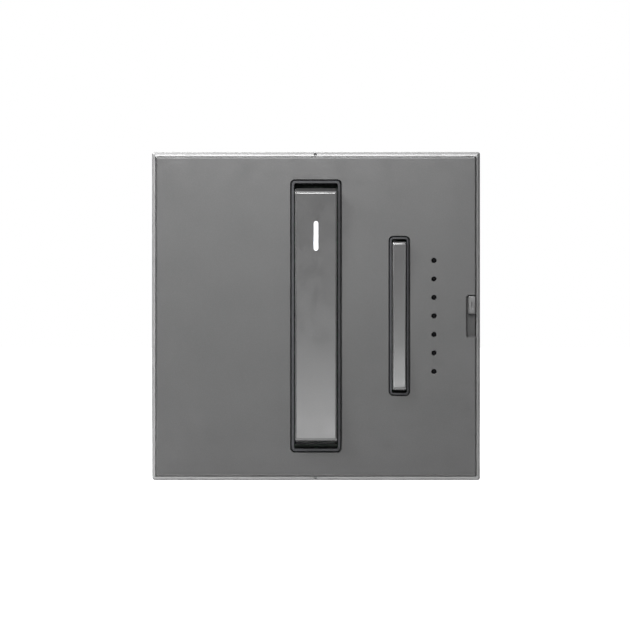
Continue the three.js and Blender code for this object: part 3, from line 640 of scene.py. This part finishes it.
def opening(node):
    """Outline of the plate's opening round a collar."""
    low, high = box(node)
    gap = COLLAR_GAP[node]
    flange = FLANGE + gap
    width = high.x - low.x - 2 * flange + 2 * gap
    height = high.z - low.z - 2 * flange + 2 * gap
    return rounded(width, height, 0.6, (low.x + high.x) / 2)


def dots():
    """X and Z of the seven level lights."""
    places = [centre("level_led_%d" % i) for i in range(1, 8)]
    return [(x, z) for x, _, z in places]


def pin_lugs(pin, half, thick, rear):
    """Two lugs behind the plate that hold a rocker's pin."""
    low, high = box(pin)
    x, y, _ = centre(pin)
    reach = (high.x - low.x) / 2 + 0.1
    bore = (high.y - low.y) / 2 + 0.1
    outline = soften([(rear - 0.2, half), (y + 1, half), (y + 1, -half), (rear - 0.2, -half)], 0.3)
    lugs = []
    for side in (1, -1):
        span = sorted((x + side * (reach - thick), x + side * reach))
        lug = slab(outline, *span, axis="x", low_edge=0.08, high_edge=0.08)
        lugs.append(cut(lug, rod(bore, span[0] - 1, span[1] + 1, (y, 0), "x")))
    return lugs


def plate_hook(side, z):
    """A barbed hook behind the plate that catches in the bezel."""
    root, ledge, barb, tip, half = -7.4, -5.4, -5.3, -4.6, 1.5
    inner, outer = 19.1, 19.9
    outline = [(inner, root), (outer, root), (outer, ledge), (20.6, barb), (20.2, tip), (inner, tip)]
    outline = [(side * x, y) for x, y in (outline if side > 0 else outline[::-1])]
    return slab(outline, z - half, z + half, axis="z")


def plate():
    """The front plate: openings, dots, the slide's notch, pin lugs, stiffening ribs and hooks."""
    low, high = box("face_plate")
    thickness, corner, dot_hole = 1.8, 0.22, 0.34
    front, rear = low.y, low.y + thickness
    top = high.z + 0.05 - TOP_DROP  # the plate rests against the upper rim
    outline = [
        (high.x, low.z),
        (high.x, NOTCH_LOW),
        (NOTCH_LEFT, NOTCH_LOW),
        (NOTCH_LEFT, NOTCH_HIGH),
        (high.x, NOTCH_HIGH),
        (high.x, top),
        (low.x, top),
        (low.x, low.z),
    ]
    holes = [opening("rocker_collar"), opening("dimmer_collar")]
    holes += [circle(dot_hole, x, z, 28) for x, z in dots()]
    panel = slab(soften(outline, corner), front, rear, holes=holes, low_edge=0.2, hole_edge=0.06,
                 steps=6, hole_steps=1)
    # Narrow enough that its face counts as a rounded edge and takes the lighter edge colour, a painted
    # highlight.
    lip = 0.26  # bevel at the foot of the notch
    wedge = slab(
        [(front - 1, NOTCH_LOW - lip - 1), (front + lip, NOTCH_LOW), (front - 1, NOTCH_LOW + 0.2)],
        NOTCH_LEFT - 0.02, high.x + 1, axis="x",
    )
    groove = brick((19.9, high.x + 1), (-8, rear + 0.5), SLIDE_ROOM)
    cut(panel, wedge)
    cut(panel, groove)
    backs = pin_lugs("rocker_pivot_pin", 1.4, 1.2, rear) + pin_lugs("dimmer_pivot_pin", 1.2, 0.9, rear)
    rib_half, rib_rear = 0.4, -6.4
    for x in (-14, -8.5):
        backs.append(brick((x - rib_half, x + rib_half), (rear - 0.2, rib_rear), (-17, 17), 0.1))
    backs += [plate_hook(side, z) for side, z in HOOKS]
    join(panel, *backs)
    put(panel, "front_plate", "module", "graphite", ["face_plate"])


def collar(node, wall, name):
    """A thin dark ring that lines an opening, with a flange behind the plate."""
    low, high = box(node)
    flange = 2 * (FLANGE + COLLAR_GAP[node])
    width = high.x - low.x - flange
    height = high.z - low.z - flange
    front, lip = low.y, 0.08
    flange_front = POCKET_FLOOR + 0.02
    path = [  # growth of the outline, depth and corner radius
        (flange, flange_front, 0.9),
        (0, flange_front, 0.5),
        (0, front + lip, 0.5),
        (-0.05, front + 0.02, 0.48),
        (-2 * lip, front, 0.42),
        (0.04 - 2 * wall, front, 0.27),
        (-2 * wall, front + 0.03, 0.25),
        (-2 * wall, high.y, 0.25),
        (flange, high.y, 0.9),
    ]
    rings = []
    for grow, y, radius in path:
        outline = rounded(width + grow, height + grow, radius, (low.x + high.x) / 2)
        rings.append([(x, y, z) for x, z in outline])
    put(skin(rings, closed=True), name, "module", "dark_plastic", [node])


def rocker_section(x, half, edge_radius, edge_sink, place, inward):
    """One cross-section of a rocker, from its left side to its right, with rounded edges."""
    steps = 5
    y, z = place
    quarter_turn = [math.pi / 2 * (1 - k / steps) for k in range(steps + 1)]
    section = []
    for side, turns in ((-1, quarter_turn), (1, reversed(quarter_turn))):
        for turn in turns:
            across = half - edge_radius + edge_radius * math.sin(turn)
            sink = edge_sink * (1 - math.cos(turn))
            section.append((x + side * across, y + inward.x * sink, z + inward.y * sink))
    return section


def paddle(node, dip, edge, end_path, edge_radius, edge_sink, rows=26):
    """A rocker: a scooped bar with rounded long edges that run on round its sloping ends."""
    low, high = box(node)
    x, half = (low.x + high.x) / 2, (high.x - low.x) / 2
    heights = [end_path[0][1] * i / rows for i in range(rows)]
    path = [(dip + (low.y - dip) * (z / edge) ** 2, z) for z in heights] + end_path
    path = [(y, -z) for y, z in reversed(path[1:])] + path
    last = len(path) - 1
    sections = []
    for i, place in enumerate(path):
        ahead, behind = path[min(i + 1, last)], path[max(i - 1, 0)]
        run = Vector((ahead[0] - behind[0], ahead[1] - behind[1])).normalized()
        if i in (0, last):
            run = Vector((1 if i else -1, 0))
        sections.append(rocker_section(x, half, edge_radius, edge_sink, place, Vector((run.y, -run.x))))
    bm = bmesh.new()
    loops = [[bm.verts.new(p) for p in section] for section in sections]
    for one, two in zip(loops, loops[1:]):
        for j in range(len(one) - 1):
            bm.faces.new((one[j], one[j + 1], two[j + 1], two[j]))
    for side in (0, -1):
        bm.faces.new([loop[side] for loop in loops])
    bm.faces.new(loops[0] + loops[-1][::-1])
    return from_bmesh(bm)


def rocker_back(obj, node, pin, hub, foot, foot_half):
    """Adds a rocker's hub and its two feet, and bores it for the pin."""
    low, high = box(node)
    pin_low, pin_high = box(pin)
    x, y = (low.x + high.x) / 2, (pin_low.y + pin_high.y) / 2
    half = (high.x - low.x) / 2 - 0.05
    outline = [(-7.9, -hub), (-7.7, -hub), (y + 0.5, 0.2 - hub), (y + 1, 0.8 - hub)]
    outline += [(a, -b) for a, b in reversed(outline)]
    body = slab(outline[::-1], x - half, x + half, axis="x", low_edge=0.1, high_edge=0.1)
    wide, tall = foot_half
    feet = [brick((x - wide, x + wide), (-8, -6.6), (z - tall, z + tall), 0.15) for z in (foot, -foot)]
    join(obj, body, *feet)
    bore = (pin_high.y - pin_low.y) / 2 + 0.1
    return cut(obj, rod(bore, x - half - 1, x + half + 1, (y, 0), "x"))


def rocker_end(top, end, dip, edge, start_z, lean, landing, slope):
    """The profile past a rocker's scoop: a rounded brow, then a slope to its rear at -7.7."""
    start = (dip + (top - dip) * (start_z / edge) ** 2, start_z)
    brow = curve(start, (top - 0.03, end - lean), (top + landing[0], end - landing[1]), 9)
    return [(p.x, p.y) for p in brow] + [(top + y, end - z) for y, z in slope] + [(-7.7, end)]


def large_rocker():
    """The on and off rocker, with the slot for its lit bar and hollows behind."""
    low, high = box("on_off_rocker")
    top, end = low.y, high.z
    dip, edge = -9.5, end - 0.55
    slope = ((1.0, 0.2), (1.6, 0.03), (1.9, 0))
    ends = rocker_end(top, end, dip, edge, end - 0.89, 0.5, (0.36, 0.43), slope)
    rocker = paddle("on_off_rocker", dip, edge, ends, 0.28, 0.14)
    rocker_back(rocker, "on_off_rocker", "rocker_pivot_pin", 2.0, 15, (1.2, 0.9))
    z = centre("rocker_indicator")[2]
    slot_width, slot_length, slot_end = 0.6, 4.06, 0.295
    slot = slab(rounded(slot_width, slot_length, slot_end, 0, z), top - 1.6, -6)
    flange_room = brick((-0.9, 0.9), (-7.6, -6), (z - 2.6, z + 2.6))
    hollows = [brick((-2, 2), (-8.6, -7), span, 0.2) for span in ((2.9, 8), (-13.4, -2.9))]
    cut(rocker, slot)
    cut(rocker, flange_room, *hollows)
    put(rocker, "large_paddle", "on_off_rocker", "graphite", ["on_off_rocker"], look=ROCKER_LOOK)


def small_rocker():
    """The raise and lower rocker."""
    low, high = box("dimmer_rocker")
    top, end = low.y, high.z
    dip, edge = -9.35, end - 0.3
    slope = ((0.9, 0.01), (1.3, 0))
    ends = rocker_end(top, end, dip, edge, end - 0.46, 0.1, (0.33, 0.04), slope)
    rocker = paddle("dimmer_rocker", dip, edge, ends, 0.18, 0.1)
    rocker_back(rocker, "dimmer_rocker", "dimmer_pivot_pin", 1.5, 7, (0.8, 0.8))
    put(rocker, "small_paddle", "dimmer_rocker", "graphite", ["dimmer_rocker"], look=ROCKER_LOOK)


def lit_bar():
    """The light guide in the large rocker: a round-ended bar on a flange."""
    low, high = box("rocker_indicator")
    z, front = (low.z + high.z) / 2, low.y
    width, length, end_radius = 0.56, high.z - low.z - 1, 0.275
    lens = slab(rounded(width, length, end_radius, 0, z, 8), front, -7.2, low_edge=0.05)
    flange = brick((-0.8, 0.8), (-7.5, high.y), (low.z, high.z), 0.1)
    put(join(lens, flange), "lit_bar", "on_off_rocker", "lit_white", ["rocker_indicator"])


def dot_guide():
    """Seven domed tips on a rail behind the plate."""
    low, high = box("level_light_guide")
    rail = brick((low.x, high.x), (-7, high.y), (low.z, high.z), 0.15)
    radius, crown, front = 0.31, 0.12, low.y
    turns = [math.pi / 2 * i / 5 for i in range(6)]
    dome = [(radius * math.sin(t), front + crown * (1 - math.cos(t))) for t in turns]
    tips = [lathe(dome + [(radius, -6.8), (0, -6.8)], place, steps=24) for place in dots()]
    put(join(rail, *tips), "dot_guide", "module", "smoked", ["level_light_guide"])


def slide_knob():
    """The air-gap slide: a small block in the notch, its shutter, darkened as painted shade under the
    knob, and its carrier.
    """
    low, high = box("air_gap_tab")
    front = low.y
    knob_width, knob_low, knob_high = 1.05, 0.3, 2.74
    right, left = high.x, high.x - knob_width
    x, z = (left + right) / 2, (knob_low + knob_high) / 2
    outline = rounded(right - left, knob_high - knob_low, 0.16, x, z)
    knob = slab(outline, front, -7.8, low_edge=0.15, steps=4)
    radius, depth = 3.1, 0.66
    bowl = [(radius * math.cos(t), front - 0.6 + depth * math.sin(t)) for t in (0.5, 0.9, 1.2, 1.4)]
    bowl = [(0, front - 2.0), (radius, front - 2.0), (radius, front - 0.6)] + bowl + [(0, front + 0.06)]
    hollow = lathe(bowl, (x, z), steps=48)
    flatten = Matrix.Translation((x, 0, z)) @ Matrix.Diagonal((0.1, 1, 0.3, 1))
    hollow.data.transform(flatten @ Matrix.Translation((-x, 0, -z)))
    cut(knob, hollow)
    shutter = brick((20.05, right), (-7.9, -6.6), (low.z, high.z), 0.08)
    carrier = brick((low.x, 21.3), (-6.8, high.y), (z - 2.6, z + 2.6), 0.12)
    # The knob's lighter graphite is painted light.
    put(knob, "slide_knob", "air_gap_slider", "graphite", ["air_gap_tab"], look=KNOB_LOOK)
    # The shutter's darker graphite is a painted shadow below the knob.
    put(join(shutter, carrier), "slide_shutter", "air_gap_slider", "graphite", look=SHUTTER_LOOK)


# ---- rear housing ---------------------------------------------------------------------------


def cross_head(head_radius, height, shank_radius, length):
    """A pan-head screw along +Y from (0, 0): domed head, tapered cross recess, ring grooves."""
    turns = [math.pi / 2 * i / 7 for i in range(7)]
    dome = [(head_radius * math.cos(t) ** 0.6, height * (0.35 + 0.65 * math.sin(t))) for t in turns]
    pitch = max(0.55, shank_radius * 0.7)
    groove_radius = shank_radius * 0.8
    grooves = []
    y = -0.7
    while y > -length + 1.2:
        grooves += [(shank_radius, y), (groove_radius, y - pitch / 2)]
        y -= pitch
    profile = [(0, height)] + dome[::-1] + [(head_radius, 0.05), (head_radius * 0.96, 0)]
    profile += [(shank_radius, 0)] + grooves + [(groove_radius, 0.5 - length), (0, -length)]
    screw = lathe(profile, (0, 0), steps=48)
    arm, blade = head_radius * 0.58, 0.24
    foot = (height * 0.25, arm * 0.55, blade * 0.6)
    mouth = (height + 0.3, arm * 1.1, blade * 1.15)
    recess = []
    for flip in (False, True):
        rings = []
        for y, along, thick in (foot, mouth):
            a, b = (thick, along) if flip else (along, thick)
            rings.append([(a, y, b), (-a, y, b), (-a, y, -b), (a, y, -b)])
        recess.append(skin(rings))
    return combine(screw, recess, "DIFFERENCE")


def back_screws():
    """The four housing screws, each left at its own turn."""
    head_height = 1.5
    for i in range(1, 5):
        node = "housing_screw_%d" % i
        low, high = box(node)
        x, _, z = centre(node)
        seat = high.y - head_height
        screw = cross_head((high.x - low.x) / 2, head_height, 0.8, seat - low.y)
        screw.data.transform(Matrix.Rotation(0.35 + i * 1.1, 4, "Y"))
        screw.data.transform(Matrix.Translation((x, seat, z)))
        put(screw, "back_screw_%d" % i, "module", "steel", [node], 40)


def clamp_screws():
    """The three terminal screws, heads down."""
    head_height = 1.0
    for i in range(1, 4):
        node = "terminal_screw_%d" % i
        low, high = box(node)
        x, y, _ = centre(node)
        screw = cross_head(1.7, head_height, 1.2, high.z - low.z - head_height)
        screw.data.transform(Matrix.Rotation(-math.pi / 2, 4, "X"))
        screw.data.transform(Matrix.Translation((x, y, low.z + head_height)))
        put(screw, "clamp_screw_%d" % i, "terminal_screw_%d" % i, "steel", [node], 40)


def housing_tray(front, rear):
    """The housing's shell: a deep tray, open to the front."""
    wall, rear_wall, round_edge, corner = 1.4, 1.6, 0.8, 2.0
    path = [(HOUSING_HALF - 0.12, front, corner - 0.1), (HOUSING_HALF, front + 0.15, corner)]
    for i in range(6):
        turn = math.pi / 2 * i / 5
        back = round_edge * (1 - math.cos(turn))
        path.append((HOUSING_HALF - back, rear - round_edge * (1 - math.sin(turn)), corner - back))
    rings = [[(x, y, z) for x, z in rounded(2 * w, 2 * w, r, steps=10)] for w, y, r in path]
    clear = 2 * (HOUSING_HALF - wall)
    return cut(skin(rings), slab(rounded(clear, clear, 1.0, steps=8), front - 1, rear - rear_wall))


def side_ribs():
    """Two raised ribs on each side of the housing."""
    ribs = []
    start, end, half = 3, 24, 0.8
    for side in (-1, 1):
        for z in (-12, 12):
            rib = [(start, z - half), (end, z - half), (end, z + half), (start, z + half)]
            span = sorted((side * (HOUSING_HALF - 0.5), side * (HOUSING_HALF + 0.35)))
            outer = {"low_edge": 0.25} if side < 0 else {"high_edge": 0.25}
            ribs.append(slab(soften(rib, 0.7), *span, axis="x", **outer))
    return ribs


def latch_ears():
    """Bored ears above and below the housing that hold the latches' trunnions."""
    pivot = box("upper_latch")[1].y - 0.5
    profile = [(1.8, 19.6), (0.6, 21.6), (-0.4, 21.6), (-0.9, 21.3), (-1.1, 19.6)]
    ears = []
    for sign in (1, -1):
        outline = mirrored([(pivot + y, z) for y, z in profile], sign)
        for side, bore in ((-1, (-6, -3)), (1, (3, 6))):
            span = (side * 4.8 - 0.6, side * 4.8 + 0.6)
            ear = slab(soften(outline, 0.35), *span, axis="x", low_edge=0.12, high_edge=0.12)
            ears.append(cut(ear, rod(0.5, *bore, (pivot, sign * LATCH_AXIS), "x")))
    return ears


def vent(width, height, x, z, span, axis="y"):
    """A cutter for one round-ended slot."""
    return slab(rounded(width, height, min(width, height) * 0.48, x, z), *span, axis=axis)


def vents(rear):
    """Cutters for the rows of slots in the sides, the top and the back."""
    pitch, wide, long = 2.6, 1.2, 14
    through = (HOUSING_HALF - 2, HOUSING_HALF + 1)
    slots = []
    for y in [15.0 + i * pitch for i in range(4)]:
        slots.append(vent(wide, long, y, 0, sorted(-d for d in through), "x"))
        slots.append(vent(wide, long, y, 0, through, "x"))
        slots.append(vent(long, wide, 0, y, through, "z"))
    slots += [vent(long, wide, 0, 2.8 + i * pitch, (rear - 2, rear + 1)) for i in range(5)]
    return slots


def screw_wells(rear):
    """Cutters for the stepped holes that the housing screws lie in."""
    seat = rear - 2.4
    profile = [(0, -1), (1.2, -1), (1.2, seat), (2.05, seat), (2.05, rear - 0.25), (2.4, rear + 0.1)]
    profile += [(2.4, rear + 1), (0, rear + 1)]
    return [lathe(profile, place) for place in screw_places()]


def terminal_holes(rear):
    """Cutters for the three wire funnels in the back and the screw holes below them."""
    bore = 1.25
    funnel = [(0, rear - 3), (bore, rear - 3), (bore, rear - 1.1), (1.32, rear - 0.8), (1.5, rear - 0.35)]
    funnel += [(1.75, rear - 0.05), (2.0, rear + 0.2), (2.0, rear + 1), (0, rear + 1)]
    below = -HOUSING_HALF
    well = [(0, below - 1), (2.2, below - 1), (2.2, below - 0.05), (1.9, below + 0.25)]
    well += [(1.9, below + 2), (0, below + 2)]
    holes = []
    for i in (1, 2, 3):
        x = centre("terminal_busbar_%d" % i)[0]
        holes.append(lathe(funnel, (x, -10.35)))
        holes.append(lathe(well, (x, centre("terminal_screw_%d" % i)[1]), "z"))
    return holes


def housing():
    """A deep rounded tray with vents, wire funnels, screw wells and sprung-latch ears."""
    low, high = box("rear_housing")
    front, rear = low.y, high.y
    tray = housing_tray(front, rear)
    column_radius, wall_half = 2.8, 0.45
    columns = [rod(column_radius, front, rear - 1, place, steps=40) for place in screw_places()]
    walls = []
    for x in (-5.5, 5.5):  # between the terminals
        walls.append(brick((x - wall_half, x + wall_half), (15, rear - 1), (-19, -7.8), 0.1))
    join(tray, together(columns), together(walls), together(side_ribs()), together(latch_ears()))
    recess_depth = 0.3
    label_recess = slab(rounded(18, 7, 0.5, 0, LABEL_Z), rear - recess_depth, rear + 1)
    key_groove = brick((8, 16), (13.4, 14.2), (HOUSING_HALF - 0.4, HOUSING_HALF + 1))
    cut(tray, *screw_wells(rear), *vents(rear), *terminal_holes(rear), label_recess, key_groove)
    put(tray, "housing_tray", "module", "dark_plastic", ["rear_housing"], 30)
    label_outline = rounded(17.4, 6.4, 0.6, 0, LABEL_Z, 8)
    label = slab(label_outline, rear - recess_depth, rear - 0.18, high_edge=0.03)
    put(label, "blank_label", "module", "light_plastic", look=label_look())


def latches():
    """Pressed spring-steel tongues: an eye on the trunnion, a dished arm and a turned-in tip."""
    z, arm_half, trunnion_half = LATCH_AXIS, 3.9, 5.2
    for name, node, sign in (("latch_upper", "upper_latch", 1), ("latch_lower", "lower_latch", -1)):
        low, high = box(node)
        y = high.y - 0.5
        tip = low.y
        reach = max(abs(low.z), abs(high.z))
        eye = [(y, z - 0.5), (y + 0.35, z - 0.35), (y + 0.5, z), (y + 0.35, z + 0.35), (y, z + 0.5)]
        outside = [(y - 2.2, z + 0.42), (y - 5.2, z + 0.78), (tip + 1.3, reach), (tip + 0.4, reach)]
        end = [(tip, reach - 0.15), (tip, reach - 0.72), (tip + 0.5, reach - 0.66)]
        inside = [(tip + 1.4, reach - 0.6), (y - 5.2, z + 0.24), (y - 2.2, z - 0.12)]
        outline = eye + outside + end + inside
        outline = [(a, sign * b) for a, b in (outline if sign < 0 else outline[::-1])]
        arm = slab(soften(outline, 0.25, 3), -arm_half, arm_half, axis="x", low_edge=0.12, high_edge=0.12)
        trunnion = rod(0.38, -trunnion_half, trunnion_half, (y, sign * z), "x", 0.08)
        window = slab(rounded(3.2, 3.0, 0.5, 0, y - 4.0), sign * z - 2, sign * z + 2, axis="z")
        cut(arm, window)
        put(join(arm, trunnion), name, node, "steel", [node])


def carried_over():
    """CAD pieces that stay: a procedural finish by slot and fine rounded edges."""
    slots = {s["node"]: s["material_slot"] for s in frame["record"]["subparts"]}
    for name, obj in frame["nodes"].items():
        for material_slot in obj.material_slots:
            material_slot.link = "OBJECT"
            material_slot.material = PIN_LOOK if name.endswith("pivot_pin") else LOOKS[slots[name]]
        if obj.hide_render:
            continue
        flat = obj.modifiers.new("flat", "DECIMATE")
        flat.decimate_type = "DISSOLVE"
        flat.angle_limit = math.radians(1.5)
        edge = obj.modifiers.new("edge", "BEVEL")
        edge.width = 0.08 * MM
        edge.segments = 2
        edge.limit_method = "ANGLE"
        edge.angle_limit = math.radians(35)
        normals = obj.modifiers.new("normals", "WEIGHTED_NORMAL")
        normals.keep_sharp = True


# ---- stage ----------------------------------------------------------------------------------


def floor():
    """A plain pale floor just under the object."""
    bm = bmesh.new()
    bmesh.ops.create_grid(bm, x_segments=8, y_segments=8, size=3000)
    obj = from_bmesh(bm)
    obj.data.transform(Matrix.Scale(MM, 4))
    obj.location.z = CAD_BOX[0][2] - 0.0001
    obj.name = "floor"
    look = Look("floor", 0.8, Specular_IOR_Level=0.1, Emission_Color=(1, 1, 1, 1))
    look.paint(look.mix(look.ramp(look.noise(60, 2), 0.3, 0.7), (0.68, 0.68, 0.68), (0.7, 0.7, 0.7)))
    seen = look.node("LightPath").outputs["Is Camera Ray"]
    look.drive("Emission Strength", look.times(seen, 1.1))
    obj.data.materials.append(look.material)


def area_light(name, place, aim, size, power):
    """A soft rectangular light, in millimetres and watts."""
    light = bpy.data.lights.new(name, "AREA")
    light.shape = "RECTANGLE"
    light.size, light.size_y = (s * MM for s in size)
    light.energy = power
    obj = bpy.data.objects.new(name, light)
    obj.location = Vector(place) * MM
    obj.rotation_euler = ((Vector(aim) - Vector(place)) * MM).to_track_quat("-Z", "Y").to_euler()
    obj.visible_camera = False
    bpy.context.scene.collection.objects.link(obj)


def world():
    """White to the camera, and a weak fill to everything else."""
    sky = bpy.data.worlds.new("studio")
    sky.use_nodes = True
    tree = sky.node_tree
    camera_ray = tree.nodes.new("ShaderNodeLightPath").outputs["Is Camera Ray"]
    seen, unseen = tree.nodes["Background"], tree.nodes.new("ShaderNodeBackground")
    seen.inputs["Color"].default_value = (1, 1, 1, 1)
    unseen.inputs["Color"].default_value = (1, 1, 1, 1)
    unseen.inputs["Strength"].default_value = 0.08
    mix = tree.nodes.new("ShaderNodeMixShader")
    tree.links.new(camera_ray, mix.inputs["Fac"])
    tree.links.new(unseen.outputs["Background"], mix.inputs[1])
    tree.links.new(seen.outputs["Background"], mix.inputs[2])
    tree.links.new(mix.outputs["Shader"], tree.nodes["World Output"].inputs["Surface"])
    bpy.context.scene.world = sky


def lights():
    """Soft light from the upper left, the front and above, and a fill behind for the back."""
    face = box("face_plate")[0].y
    middle = (0, face, 0)
    area_light("key", (-90, face - 50, 100), middle, (35, 35), 0.22)
    area_light("key_far", (-160, face - 90, 150), middle, (45, 45), 0.25)
    area_light("front_low", (-10, face - 300, 75), middle, (60, 50), 0.155)
    area_light("front_high", (0, face - 300, 130), middle, (100, 60), 0.235)
    area_light("overhead", (0, face - 25, 250), middle, (260, 120), 0.18)
    area_light("behind", (0, face + 60, 260), middle, (300, 160), 0.12)
    area_light("rear_fill", (-80, 320, 160), (0, 28, 0), (200, 150), 0.6)


def camera():
    """A long lens square to the face."""
    view_width, distance, shift = 86.4, 750, 0.137
    data = bpy.data.cameras.new("camera")
    data.sensor_width = 36
    data.lens = data.sensor_width * distance / view_width
    data.clip_start, data.clip_end = 0.01, 20
    obj = bpy.data.objects.new("camera", data)
    obj.location = Vector((-shift, box("face_plate")[0].y - distance, shift)) * MM
    obj.rotation_euler = (math.pi / 2, 0, 0)
    bpy.context.scene.collection.objects.link(obj)
    bpy.context.scene.camera = obj


bezel()
plate()
collar("rocker_collar", 0.35, "large_collar")
collar("dimmer_collar", 0.26, "small_collar")
large_rocker()
small_rocker()
lit_bar()
dot_guide()
slide_knob()
housing()
back_screws()
clamp_screws()
latches()
carried_over()
floor()
lights()
world()
camera()
bpy.context.scene.view_settings.view_transform = "Standard"
